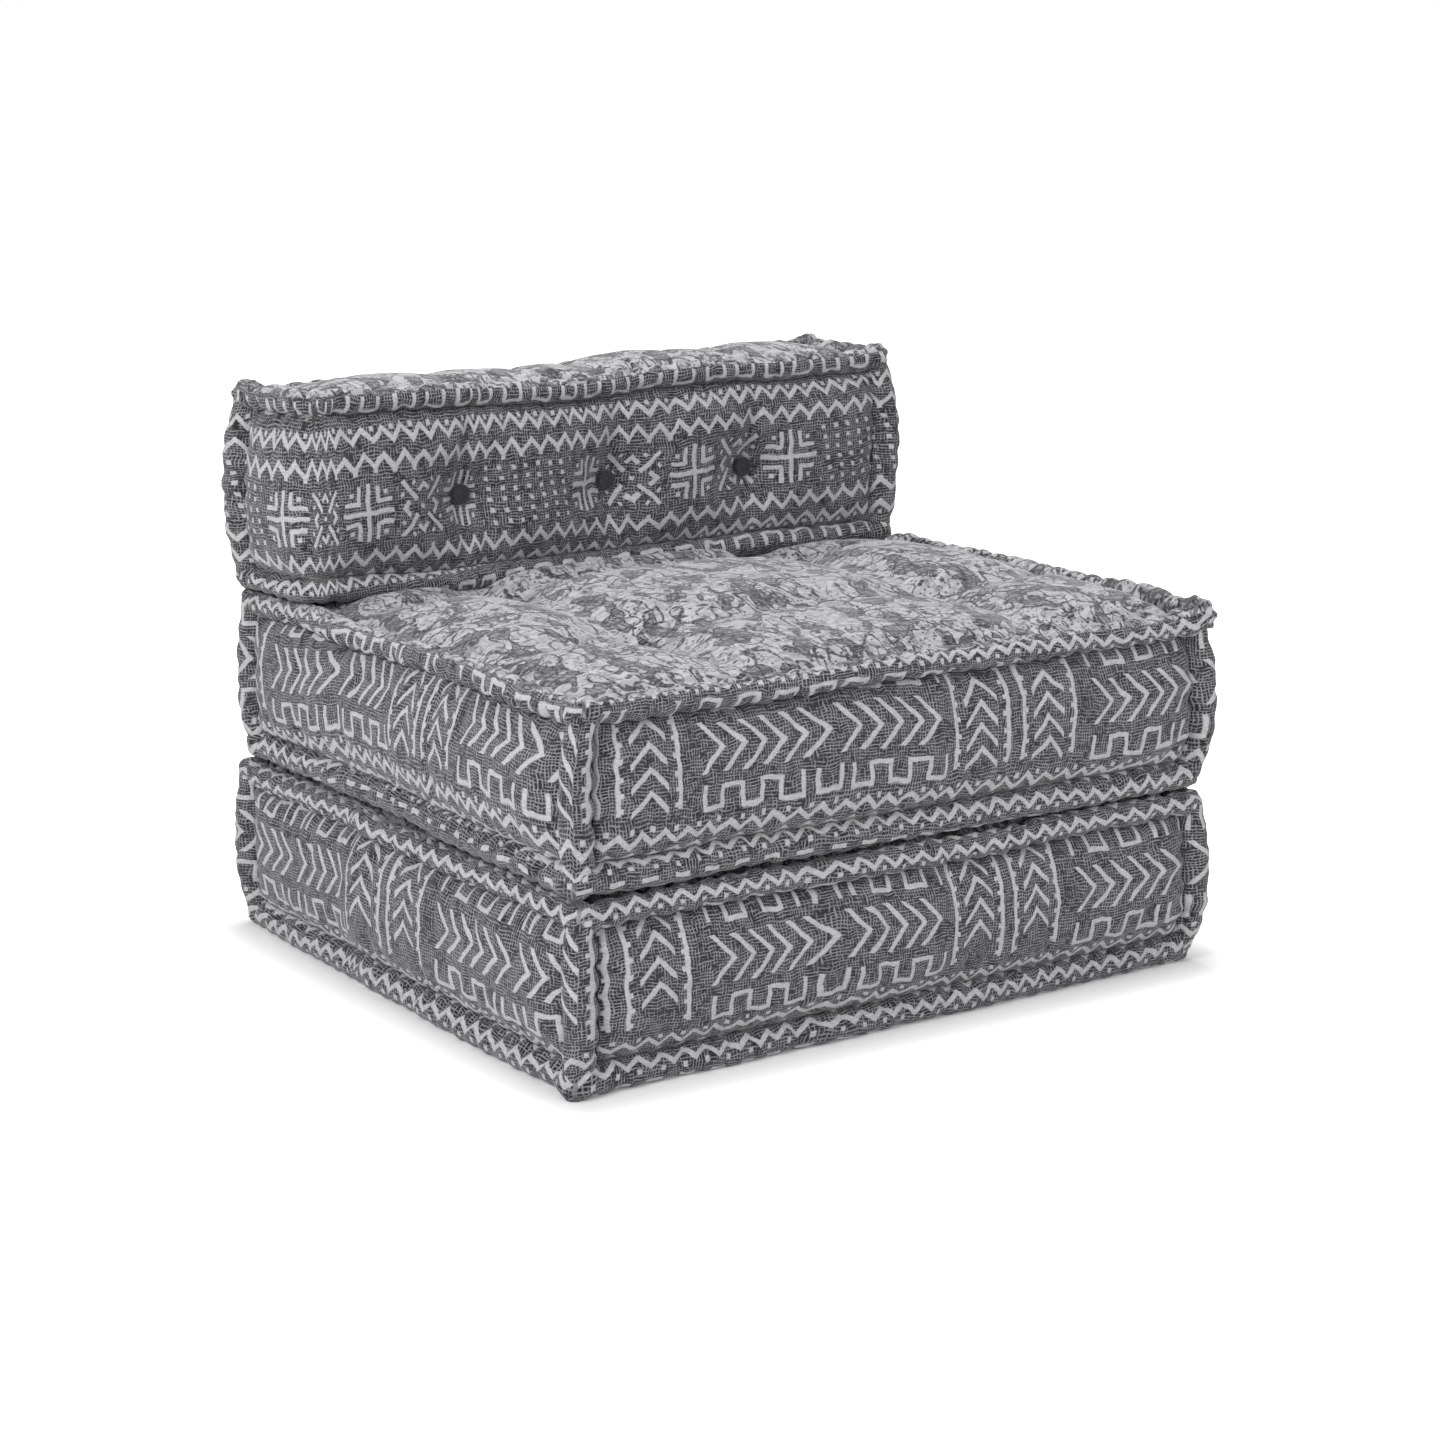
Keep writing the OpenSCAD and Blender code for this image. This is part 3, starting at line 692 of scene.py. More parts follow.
def leaned(name, points):
    # points of a cushion's cloth where the filling has pushed them
    cushion = cushions[name]
    r, tall = sewing["roll"], cushion["tall"]
    x, y, z = np.moveaxis(points - np.array((*cushion["centre"], cushion["low"])), -1, 0)
    a, b = (np.clip(v / h, -1, 1) for v, h in zip((x, y), cushion["half"]))
    s, t = (a + 1) / 2, (b + 1) / 2
    height = np.clip((z - r) / (tall - 2 * r), 0, 1)
    middle = np.sin(np.pi * height) ** 0.8
    shares = ((1 - height) * (1 - middle), middle, height * (1 - middle))
    moved = np.zeros_like(points)
    for share, lean, belly in zip(shares, cushion["lean"], cushion["belly"]):
        (x0, y0), (x1, y1), (x2, y2), (x3, y3) = lean
        front, right, rear, left = belly
        toLeft = x0 * (1 - t) + x3 * t - left * (1 - b**2)
        toRight = x1 * (1 - t) + x2 * t + right * (1 - b**2)
        toFront = y0 * (1 - s) + y1 * s - front * (1 - a**2)
        toRear = y3 * (1 - s) + y2 * s + rear * (1 - a**2)
        moved[..., 0] += share * np.where(a < 0, toLeft, toRight) * a**4
        moved[..., 1] += share * np.where(b < 0, toFront, toRear) * b**4
    (z0, z1, z2, z3), crown = cushion["raised"]
    up = (z0 * (1 - s) + z1 * s) * (1 - t) + (z3 * (1 - s) + z2 * s) * t
    free = np.clip((y + 366) / 90, 0, 1) * np.clip((200 - y) / 60, 0, 1)
    up = up + crown * np.maximum(0, a) ** 2 * free * (2 - free)
    moved[..., 2] = up * np.clip(z / tall, 0, 1)
    if "sag" in cushion:
        at, reach, depth = cushion["sag"]
        moved[..., 2] -= depth * dip(x - at, reach) * np.clip(2 * z / tall - 1, 0, 1)
    return points + moved


def rollLine(cushion, side):
    # how far a side's rolls lie from the middle of the cushion
    return cushion["half"][1 - side % 2] - sewing["roll"]


def cornerRadius(cushion, corner):
    # corner k lies between side k - 1 and side k; only a wrapped one is wide
    return 26.0 if cushion["wrapped"] and corner == 0 else sewing["seam"]


def straight(cushion, side):
    # ends of a side's straight run, from its middle
    reach = cushion["half"][side % 2] - sewing["roll"]
    return cornerRadius(cushion, side) - reach, reach - cornerRadius(cushion, (side + 1) % 4)


def cornerCloth(cushion, corner):
    return (cornerRadius(cushion, corner) + sewing["roll"]) * math.pi / 2


def sideStart(cushion, side):
    # place of a side's start on the wrapped cloth; the front side starts at 0
    if side == 3:
        low, high = straight(cushion, 3)
        return -cornerCloth(cushion, 0) - (high - low)
    place = 0.0
    for k in range(side):
        low, high = straight(cushion, k)
        place += high - low + cornerCloth(cushion, (k + 1) % 4)
    return place


def sideMiddle(cushion, side):
    # place of a side's middle on the wrapped cloth
    return sideStart(cushion, side) - straight(cushion, side)[0]


# Where the print lies on the cloth, as pairs of a place on the object and one in the
# print, both in mm. A place is counted along the side from its middle. The middle line
# of the print is given as pairs of a place and a height along the cloth. Lower makes the
# seat's lower zigzag longer, and upper the rows above the middle of the back
printLay = {
    "base": {
        "front": (
            (-365, -21), (-347, 0), (-283, 69), (-232, 125), (-187, 174), (-143, 224),
            (-106, 248.5), (-63, 285), (-17, 334.5), (29, 384), (48, 410), (112, 479),
            (129, 500), (187, 569), (238, 625), (287, 674), (336, 724),
        ),
        "left": (
            (-327, 141), (-101, 370), (-90, 411), (-60, 444), (-14, 478), (7, 500), (45, 535),
            (73, 570), (137, 625),
        ),
        "middleFront": ((-230, 120), (344, 117)),
        "middleLeft": ((-300, 114), (300, 119)),
    },
    "seat": {
        "front": (
            (-370, -21), (-353, 0), (-289, 69), (-240, 125), (-193, 174), (-143, 224),
            (-113, 248.5), (-75, 285), (-24, 334.5), (27, 384), (47, 410), (114.5, 479),
            (136, 500), (205, 569), (256, 625), (304, 674), (344, 724),
        ),
        "left": (
            (-298, 69), (-245, 125), (-202, 174), (-151, 224), (-113, 248.5), (-83, 285),
            (-36, 334.5), (1, 384), (14, 410), (70, 479), (86, 500), (142, 569), (184, 625),
            (227, 674), (280, 724), (316, 748.5),
        ),
        "middleFront": ((-240, 136), (-24, 134), (137, 129), (256, 121), (344, 122)),
        "middleLeft": ((-245, 127), (-167, 134), (-113, 143), (0, 147), (250, 146), (316, 142)),
        "lower": 11,
    },
    "back": {
        "front": (
            (-391, -422), (-360, -346), (-326, -310), (-256, -238), (-193, -166), (-172, -125),
            (-70, -12), (-36.5, 36), (28.5, 108), (108, 180), (179, 252), (248, 324), (288, 362),
            (372, 450),
        ),
        "left": ((13, -486), (77, -422)),
        "middleFront": ((-389, 98), (375, 122)),
        "middleLeft": ((-60, 100), (60, 99)),
        "upper": ((-400, 0.84), (-60, 0.88), (160, 0.95), (300, 1)),
    },
}


def layKnots(name, key, side=0):
    at, there = np.array(printLay[name].get(key, ((0, 1),)), float).T
    return at + sideMiddle(cushions[name], side), there


def printPlace(name, key, side, u):
    # place in the print from the knots of a side, at full scale past its ends
    at, there = layKnots(name, key, side)
    return np.interp(u, at, there) + np.minimum(0, u - at[0]) + np.maximum(0, u - at[-1])


def clothMap(name, u, v):
    # the print doesn't match over the crease at the front left corner
    isLeft = u < -cornerCloth(cushions[name], 0) / 2
    place = np.where(isLeft, printPlace(name, "left", 3, u), printPlace(name, "front", 0, u))
    onLeft = np.interp(u, *layKnots(name, "middleLeft", 3))
    middle = np.where(isLeft, onLeft, np.interp(u, *layKnots(name, "middleFront")))
    wobble = 2 * np.sin(u / 97.0) + 1.5 * np.sin(u / 41.0 + 1)
    up = v - (middle + wobble)
    near, tip, longer = bandPrint["keyOuter"], bandPrint["outerRow"][0], printLay[name].get("lower", 0)
    share = (tip - near) / (tip - near + longer)
    up = np.where(up < -near, np.minimum(-near + (up + near) * share, up + longer), up)
    start = crossPrint["pitch"] / 2
    up = np.where(up > start, start + (up - start) * np.interp(u, *layKnots(name, "upper")), up)
    return np.stack([place, up], axis=-1)


def stitchPull(u, seed, sharp=3.0):
    # 1 at each stitch, 0 between; some stitches are drawn tighter than others
    place = u / sewing["stitch"]
    near = np.abs(np.cos(np.pi * place)) ** (2 * sharp)
    return near * (1 + 0.45 * lumps(np.round(place) * 37.0, 0, 23.0, seed))


# How stitches and filling shape the cloth: depths, then the length over which each acts.
# Uneven gives the heights and sizes of the lumps that the filling makes
relief = {
    "rollPinch": 3.6,
    "rollDraw": 1.1,
    "rollFirm": (1.1, 0.7, 0.9),  # on the left, on the front, and on the other sides
    "rollUneven": ((0.9, 26), (0.5, 7.5)),
    "cornerDraw": 1.2,
    "cornerUneven": ((0.9, 24), (0.5, 7)),
    "borderPull": (3.0, 10),
    "borderTuck": (4.2, 26),
    "borderUneven": ((2.6, 86), (1.1, 38)),
    "borderCrease": (0.55, 10),
    "borderEnd": 55,
    "panelUneven": ((1.6, 66), (0.7, 27)),
}


def unevenRoll(u, angle, key, seed):
    (height, size), (small, fine) = relief[key]
    return height * lumps(u, angle * 14, size, seed + 1) + small * lumps(u, angle * 5, fine, seed + 2)


def rollRise(name, upper, u):
    # where a roll lies above or below its own line; between base and seat the rolls
    # part here and there, and elsewhere the edge rises and falls slowly
    seed = cushions[name]["seed"] + (3 if upper else 4)
    parting = 1.0 + 4.0 * np.maximum(0, lumps(u, 5, 85, seed) - 0.05)
    if name == "base" and upper:
        return -parting
    if name == "seat" and not upper:
        return parting
    wave = 2.0 * lumps(u, 0, 120, seed) + 1.0 * lumps(u, 9, 46, seed + 1)
    return wave * (0.5 if name == "base" else 1) - 0.9


def rollRadius(name, upper, u, angle):
    # angle 0 is outward and a quarter turn is up; stitches draw the roll in at the
    # crease beside the border and beside the panel, slanting a little, and hold it
    # firmest on the left side
    seed = cushions[name]["seed"] + (50 if upper else 70)
    around = angle if upper else -angle
    frontEnd = 743.4  # of the base's and the seat's front
    left, front, others = relief["rollFirm"]
    firm = np.select([u < 0, u < frontEnd], [left, front], others) * (1 + 0.3 * lumps(u, 0, 90, seed + 9))
    slant = np.where(u < 0, 8, 4)
    into = dip(around + 0.85, 0.62) + dip(around - 2.0, 0.7)
    pinch = firm * stitchPull(u + slant * np.sin(around), seed, 1.8)
    radius = sewing["roll"] - relief["rollPinch"] * pinch * into - relief["rollDraw"] * pinch
    return radius + unevenRoll(u, angle, "rollUneven", seed)


def tuftDepth(distance):
    away = np.maximum(0, distance - sewing["tuftFlat"] * 0.7)
    return np.exp(-((away / (sewing["tuftSlope"] * 0.62)) ** 1.5))


def borderProfile(tall, steps):
    # heights and shares of the bulge, evenly spaced along the cloth
    low = sewing["roll"] + sewing["seam"]
    t = np.sin(np.linspace(-1, 1, 400) * math.pi / 2)
    z, out = tall / 2 + t * (tall / 2 - low), sewing["bulge"] * swell(t, 3)
    run = np.concatenate([[0], np.cumsum(np.hypot(np.diff(z), np.diff(out)))])
    even = np.linspace(0, run[-1], steps + 1)
    return np.interp(even, run, z), np.interp(even, run, out) / sewing["bulge"], even - run[-1] / 2


def stitchesOn(length):
    return max(1, round(length / sewing["stitch"]))


# Long folds that run up and down from a tuft, rays of short ones, and its basin
tuftFolds = {
    "deep": 9,
    "width": 5,
    "spread": 0.07,
    "reach": 110,
    "bend": (6, 40),
    "rays": 1.5,
    "rayReach": 32,
    "basin": 7.5,
    "basinReach": 60,
}


def tuftPull(u, z, tufts):
    # how far the folds about the tufts draw the cloth in, and its share in a tuft
    f = tuftFolds
    folded, deepest = np.zeros_like(u), np.zeros_like(u)
    for place in tufts:
        dx, dz = u - place, z - sewing["backTuftHeight"]
        bent = dx + f["bend"][0] * np.sin(dz / f["bend"][1] + place)
        folded += f["deep"] * dip(bent, f["width"] + f["spread"] * np.abs(dz)) * dip(dz, f["reach"])
        around, away = np.arctan2(dz, dx), np.hypot(dx, dz)
        rays = np.cos(around * 7 + place) + 0.6 * np.cos(around * 11 + 2 * place)
        folded += f["rays"] * rays * np.exp(-away / f["rayReach"])
        folded += f["basin"] * dip(away, f["basinReach"])
        deepest = np.maximum(deepest, tuftDepth(np.hypot(dx, dz * 0.9)))
    return folded, deepest


def borderOut(name, u, z, share, ends, tufts):
    # how far the border stands out from its rolls' centre line
    seed, tall = cushions[name]["seed"], cushions[name]["tall"]
    low = sewing["roll"] + sewing["seam"]
    (pullBy, pullOver), (tuckBy, tuckOver) = relief["borderPull"], relief["borderTuck"]
    (height, size), (small, fine) = relief["borderUneven"]
    creaseBy, creaseOver = relief["borderCrease"]
    # near a corner roll the bulge falls off
    fall = swell(np.clip(1 - ends / relief["borderEnd"], 0, 1), 2.2)
    out = 1.15 * sewing["bulge"] * share * (0.4 + 0.6 * fall)
    fromEdge = np.minimum(z - low, tall - low - z)
    upperHalf = z > tall / 2
    place = np.where(upperHalf, u, u + 11)
    pull = np.exp(-fromEdge / pullOver) * stitchPull(place, seed + 5, 1.4)
    tucks = np.exp(-fromEdge / tuckOver) * stitchPull(place + 0.1 * (z - tall / 2), seed + 6, 4)
    stitchNumber = np.round(place / sewing["stitch"])
    tucks = tucks * np.maximum(0, lumps(stitchNumber * 31, upperHalf * 50, 17, seed + 7) + 0.2)
    out = out - pullBy * pull * share - tuckBy * tucks
    out = out + share * (height * lumps(u, z, size, seed) + small * lumps(u, z * 1.6, fine, seed + 1))
    # fine creases run along the border
    out = out + share * creaseBy * lumps(u * 0.3, z, creaseOver, seed + 2)
    if not tufts:
        return out
    folded, deepest = tuftPull(u, z, tufts)
    return (out - folded * share) * (1 - deepest) + (sewing["roll"] - sewing["backTuftSink"]) * deepest


def cornerSwell(cushion, z):
    # how much further from its middle a corner roll reaches at a height
    r, tall = sewing["roll"], cushion["tall"]
    share = np.sin(np.pi * np.clip((z - r) / (tall - 2 * r), 0, 1))
    return sewing["cornerSwell"] * np.minimum(1, 1.5 * share)


def finRadius(cushion, corner, zz, aa):
    # a corner roll's radius; its stitches draw it in beside both borders
    seed = cushion["seed"] + 90 + corner
    pinch = stitchPull(zz + 7 * np.sin(aa), seed, 1.8)
    radius = sewing["roll"] - 0.2 + cornerSwell(cushion, zz)
    into = dip(np.abs(aa) - 1.75, 0.5)
    radius = radius - relief["rollPinch"] * pinch * into - relief["cornerDraw"] * pinch
    return radius + unevenRoll(zz, aa, "cornerUneven", seed)


def finReach(cushion, corner, hand, z, out):
    # how far past its own line a border's end lies so that it meets the corner roll
    angle = hand * (math.pi * 0.75 - np.arctan2(np.maximum(0, out), sewing["seam"]))
    radius = finRadius(cushion, corner, z, angle)
    return np.sqrt(np.maximum(radius**2 - np.clip(out, 0, 9) ** 2, 36)) + 0.3 - sewing["seam"]


def borderColumns(cushion, side, before):
    # columns of a border's points: side, place along it, radius and angle of a wrapped
    # corner, place on the cloth, and distance to the nearer sewn end
    columns, noEnd = [], 999.0
    for k in [side] if before is None else [before, side]:
        low, high = straight(cushion, k)
        middle = sideMiddle(cushion, k)
        for a in np.linspace(low, high, stitchesOn(high - low) * 4 + 1):
            fromStart = a - low if before is None or k == before else noEnd
            toEnd = noEnd if k == before else high - a
            columns.append((k, a, 0.0, 0.0, middle + a, min(fromStart, toEnd)))
        if k == before:
            for t in np.linspace(0, 1, 13)[1:-1]:
                u = middle + high + t * cornerCloth(cushion, 0)
                columns.append((k, high, cornerRadius(cushion, 0), t * math.pi / 2, u, noEnd))
    return columns


def makeBorder(name, side, label, tufts, before):
    # cloth of one side; a wrapped one also runs over the side before it
    cushion = cushions[name]
    tall, r = cushion["tall"], sewing["roll"]
    z, share, flat = borderProfile(tall, round((tall - 40) / 7))
    columns = borderColumns(cushion, side, before)
    *_, ups, ends = np.array(columns).T
    zz, uu = np.meshgrid(z, ups, indexing="ij")
    out = borderOut(name, uu, zz, share[:, None], ends, tufts)
    # the strip's long edges follow the rolls, and its ends the corner rolls
    under = r + 1.02 * rollRadius(name, False, ups, math.pi / 2)
    under = sewing["taller"][name] * under + rollRise(name, False, ups) + 0.3
    over = tall - r - 1.02 * rollRadius(name, True, ups, -math.pi / 2) + rollRise(name, True, ups) - 0.3
    wave = (under - z[0]) * np.exp(-(zz - z[0]) / 16) + (over - z[-1]) * np.exp(-(z[-1] - zz) / 16)
    points = np.zeros(zz.shape + (3,))
    for n, (k, x, radius, angle, _, end) in enumerate(columns):
        if end < 60:
            corner, hand = (k, 1) if x < 0 else ((k + 1) % 4, -1)
            x = x + hand * finReach(cushion, corner, hand, z, out[:, n]) * math.exp(-end / 14)
        x = x + (radius + out[:, n]) * math.sin(angle)
        y = radius - rollLine(cushion, k) - (radius + out[:, n]) * math.cos(angle)
        points[:, n, :2] = np.stack(turned(x, y, k), axis=-1) + cushion["centre"]
    points[..., 2] = zz + wave + cushion["low"]
    points = leaned(name, points)
    v = np.repeat((flat + tall / 2)[:, None], len(ups), axis=1)
    maps = {"clothMap": clothMap(name, uu, v)}
    return gridObject(f"{name}{label}Border", points, maps, cloths[cushion["print"]]), points


def ringPath(cushion, perStitch=8):
    # the rolls' line round a cushion: (u, x, y, outward x, outward y, share of a corner)
    rows = []
    for k in (3, 0, 1, 2):
        low, high = straight(cushion, k)
        off, middle, corner = rollLine(cushion, k), sideMiddle(cushion, k), (k + 1) % 4
        for a in np.linspace(low, high, stitchesOn(high - low) * perStitch + 1)[:-1]:
            rows.append((middle + a, *turned(a, -off, k), *turned(0, -1, k), 0))
        radius = cornerRadius(cushion, corner)
        steps = 22 if radius > sewing["seam"] else 14
        for t in np.arange(steps) / steps:
            out = math.sin(t * math.pi / 2), -math.cos(t * math.pi / 2)
            x, y = high + radius * out[0], radius - off + radius * out[1]
            share = 0 if radius > sewing["seam"] else math.sin(t * math.pi)
            u = middle + high + t * cornerCloth(cushion, corner)
            rows.append((u, *turned(x, y, k), *turned(*out, k), share))
    return np.array(rows)


def cornerMiddle(cushion, corner):
    # place of a corner's middle on the cloth
    before = (corner - 1) % 4
    runEnd = sideMiddle(cushion, before) + straight(cushion, before)[1]
    return runEnd + cornerCloth(cushion, corner) / 2


def ringMaps(name, upper, points, u, around):
    # flat maps of a roll; a place is u along it and around it from its outer side
    cushion = cushions[name]
    uLoop = np.append(u, u[-1] + (u[1] - u[0]))
    uGrid, aroundGrid = np.meshgrid(uLoop, around, indexing="ij")
    hidden, crease = sewing["tucked"][name][upper], 0.76 * sewing["roll"]
    v = aroundGrid + (cushion["tall"] - 24 + hidden + crease if upper else 24 - hidden - crease)
    if cushion["wrapped"] and not upper:  # nothing is sewn away at the wrapped corner
        v = v + (hidden * (1 - np.clip(uLoop / 240, 0, 1)))[:, None]
    maps = {"clothMap": clothMap(name, uGrid, v)}
    if upper:
        ring = np.concatenate([points, points[:1]])
        maps["panelMap"] = np.concatenate([ring, ring[:, :1]], axis=1)[..., :2]
        edge = sewing["jacquardEdge"][name] * sewing["roll"]
        maps["edgeMap"] = np.stack([uGrid, aroundGrid - edge], axis=-1)
    return maps


def makeRing(name, upper):
    # the sewn roll round the top or the bottom of a cushion
    cushion = cushions[name]
    r, low, tall = sewing["roll"], cushion["low"], cushion["tall"]
    u, x, y, nx, ny, corner = ringPath(cushion).T
    angle = np.linspace(-math.pi, math.pi, 33)
    uu, aa = np.meshgrid(u, angle[:-1], indexing="ij")
    ear, loop = np.zeros(len(u)), u[-1] - u[0]
    for k, share in enumerate(cushion["ears"][upper]):
        away = (u - cornerMiddle(cushion, k) + loop / 2) % loop - loop / 2
        ear = ear + share * dip(away, 17)
    # ears stand out at the corners, and the roll is gathered where it turns
    radius = rollRadius(name, upper, uu, aa) + (3.0 * ear + 0.8 * corner)[:, None]
    radius = radius + (corner + ear)[:, None] * 0.9 * np.sin(7 * aa + 2 * uu / 9)
    push = (math.sqrt(2) - 1) * sewing["seam"] * corner + 5 * ear + 3 * ear**3
    wave = 1.2 * lumps(u, 3, 70, cushion["seed"] + (53 if upper else 73))
    outward = radius * np.cos(aa) + (push + wave)[:, None]
    taller = 1 if upper else sewing["taller"][name]
    middle = tall - r if upper else r * taller
    rise = rollRise(name, upper, u) + (9 if upper else -9) * ear
    points = np.stack([
        x[:, None] + nx[:, None] * outward + cushion["centre"][0],
        y[:, None] + ny[:, None] * outward + cushion["centre"][1],
        middle + radius * 1.02 * taller * np.sin(aa) + rise[:, None] + low,
    ], axis=-1)
    points = leaned(name, points)
    # no roll reaches into the floor, or into the cushion that lies on it
    top = np.inf
    if name != "back" and upper:
        top = low + tall + (underFoot(points[..., 1]) if name == "seat" else 0)
    points[..., 2] = np.clip(points[..., 2], low + 0.1, top)
    maps = ringMaps(name, upper, points, u, angle * r)
    cloth = cloths[cushion["print"] + ("Roll" if upper else "")]
    return gridObject(f"{name}{'Top' if upper else 'Bottom'}Roll", points, maps, cloth, (True, True))


def makeCornerRoll(name, corner):
    # upright fin between the ends of two borders, pinched by stitches on both sides
    cushion = cushions[name]
    half, r = cushion["half"], sewing["roll"]
    toX, toY = ((-1, -1), (1, -1), (1, 1), (-1, 1))[corner]
    diagonalWay = math.atan2(toY, toX)
    low, high = r, cushion["tall"] - r
    z = np.linspace(low, high, round((high - low) / 3.5) + 1)
    angle = np.linspace(-math.pi, math.pi, 29)
    zz, aa = np.meshgrid(z, angle[:-1], indexing="ij")
    middle = np.sin(math.pi * (zz - low) / (high - low))
    radius = finRadius(cushion, corner, zz, aa)
    outward = radius * np.cos(aa) * (1 + 0.42 * middle * (np.cos(aa) > 0))
    sideways = radius * np.sin(aa) * 0.97
    cosine, sine = math.cos(diagonalWay), math.sin(diagonalWay)
    points = leaned(name, np.stack([
        toX * (half[0] - r) + cushion["centre"][0] + outward * cosine - sideways * sine,
        toY * (half[1] - r) + cushion["centre"][1] + outward * sine + sideways * cosine,
        zz + cushion["low"],
    ], axis=-1))
    vGrid, around = np.meshgrid(z, angle * r * 1.15, indexing="ij")
    placed = clothMap(name, cornerMiddle(cushion, corner) + around, vGrid)
    if corner == 0:  # this roll's own strip of print, with no crease down its middle
        placed[..., 0] = cushion["cornerPrint"] + around
    maps, material = {"clothMap": placed}, cloths[cushion["print"]]
    return gridObject(f"{name}CornerRoll{corner}", points, maps, material, (False, True), True)


def underFoot(y):
    # highest that the seat may reach under and before the back cushion, over its box
    r, front = sewing["roll"], sewing["footLine"]
    inside = np.clip((front + r - y) / r, 0, 1)
    under = r - np.sqrt(1 - inside**2) * r - 2
    return np.where(y > front, np.clip(under, -0.1, 99), r - 2 + 1.2 * (front - y))


def tufted(risen, x, y, tall, folds=0.0):
    for cx, cy in sewing["seatTufts"]:
        away, around = np.hypot(x - cx, y - cy), np.arctan2(y - cy, x - cx)
        rays = np.cos(around * 7 + cx) + 0.6 * np.cos(around * 12 + cy)
        deep = tuftDepth(away)
        risen = risen + folds * rays * np.exp(-away / 42) * (away > 1)
        risen = risen * (1 - deep) + (tall - sewing["tuftSink"]) * deep
    return risen


# Seat and back are crowned over their rolls, with valleys from tuft to tuft
crowns = {
    "seatRise": 22,
    "seatValley": (18, 36),  # depth and width
    "seatWell": (15, 70),
    "seatFolds": 2.4,
    "backRise": 5,
    "backValley": (6, 34),
}


def seatTop(x, y, spans, tall):
    r, tufts = sewing["roll"], sewing["seatTufts"]
    (depth, width), (wellDepth, wellWidth) = crowns["seatValley"], crowns["seatWell"]
    lines = [dip(np.abs(v) - abs(at), width) for v, at in zip((x, y), tufts[0])]
    wells = [dip(np.hypot(x - cx, y - cy), wellWidth) for cx, cy in tufts]
    valley = depth * np.maximum(*lines) + wellDepth * np.maximum.reduce(wells)
    rise = r + crowns["seatRise"] - valley + 3.5 * lumps(x, y, 150, 5)
    risen = tall - r + swell(x / spans[0], 3) * swell(y / spans[1], 3) * rise
    return tufted(np.minimum(risen, tall + underFoot(y)), x, y, tall, crowns["seatFolds"])


def backTop(x, y, spans, tall):
    r = sewing["roll"]
    depth, width = crowns["backValley"]
    drawn = np.maximum.reduce([dip(x - at, width) for at in sewing["backTufts"]])
    rise = r + crowns["backRise"] - depth * drawn + 2.5 * lumps(x, y, 90, 8)
    return tall - r + swell(x / spans[0], 3) * swell(y / spans[1], 3) * rise


def levelPanel(x, y, spans, tall):
    # lies level with the rolls, as something presses on it
    r = sewing["roll"]
    across, deep = (np.minimum(1, 3 * swell(v / span)) for v, span in zip((x, y), spans))
    return tall - r + (r - 0.3) * across * deep


def tuftedLevel(x, y, spans, tall):
    return tufted(levelPanel(x, y, spans, tall), x, y, tall)


def makePanel(name, upper, form, material):
    cushion = cushions[name]
    tall, low, seed = cushion["tall"], cushion["low"], cushion["seed"]
    spans = [half - sewing["roll"] - sewing["seam"] for half in cushion["half"]]
    x, y = np.meshgrid(*(np.linspace(-s, s, stitchesOn(2 * s) * 4 + 1) for s in spans))
    z = form(x, y, spans, tall)
    if upper and name != "base":
        edge = swell(x / spans[0], 6) * swell(y / spans[1], 6)
        (height, size), (small, fine) = relief["panelUneven"]
        z = z + edge * (height * lumps(x, y, size, seed + 31) + small * lumps(x, y, fine, seed + 32))
    if not upper:
        z = tall - z
    points = np.stack([x + cushion["centre"][0], y + cushion["centre"][1], z + low], axis=-1)
    points = leaned(name, points)
    if upper and name == "seat":
        points[..., 2] = np.minimum(points[..., 2], low + tall + underFoot(points[..., 1]))
    if not upper:
        points = points[:, ::-1]
    maps = {"panelMap": points[..., :2], "clothMap": points[..., :2]}
    return gridObject(f"{name}{'Top' if upper else 'Bottom'}Panel", points, maps, material), points


# What the cloth does between its stitches: pressure fills it, and it is cut a little
# larger than the form, so that it wrinkles round stitches and tufts
puff = {
    "frames": 18,
    "pressure": 3.0,
    "spare": 0.03,
    "most": 6.0,
    "weight": 0.25,
    "stretch": 12,
    "shear": 4,
    "bend": 0.12,
}


def puffOut(piece, points, sewn, ceiling=None):
    group = piece.vertex_groups.new(name="sewn")
    group.add([int(k) for k in np.flatnonzero(sewn.ravel())], 1.0, "REPLACE")
    puffing = piece.modifiers.new("puff", "CLOTH")
    cloth = puffing.settings
    cloth.vertex_group_mass = "sewn"
    cloth.quality = 5
    cloth.mass = puff["weight"]
    cloth.tension_stiffness = cloth.compression_stiffness = puff["stretch"]
    cloth.shear_stiffness = puff["shear"]
    cloth.bending_stiffness = puff["bend"]
    cloth.use_pressure = True
    cloth.uniform_pressure_force = puff["pressure"]
    cloth.shrink_min = -puff["spare"]
    cloth.effector_weights.gravity = 0
    puffing.collision_settings.use_collision = False
    puffing.point_cache.frame_start = 1
    puffing.point_cache.frame_end = puff["frames"]
    for frameNumber in range(1, puff["frames"] + 1):
        scene.frame_set(frameNumber)
    shaped = piece.evaluated_get(bpy.context.evaluated_depsgraph_get())
    moved = np.zeros(points.size, np.float32)
    shaped.data.vertices.foreach_get("co", moved)
    first = points.reshape(-1, 3)
    step = moved.reshape(-1, 3) / mm - first
    size = np.linalg.norm(step, axis=1, keepdims=True)
    step = step * (np.tanh(size / puff["most"]) * puff["most"] / np.maximum(size, 1e-6))
    piece.modifiers.remove(puffing)
    piece.vertex_groups.remove(group)
    scene.frame_set(1)
    final = first + step
    if ceiling is not None:
        final[:, 2] = np.minimum(final[:, 2], ceiling.ravel())
    piece.data.vertices.foreach_set("co", (final * mm).astype(np.float32).ravel())
    piece.data.update()


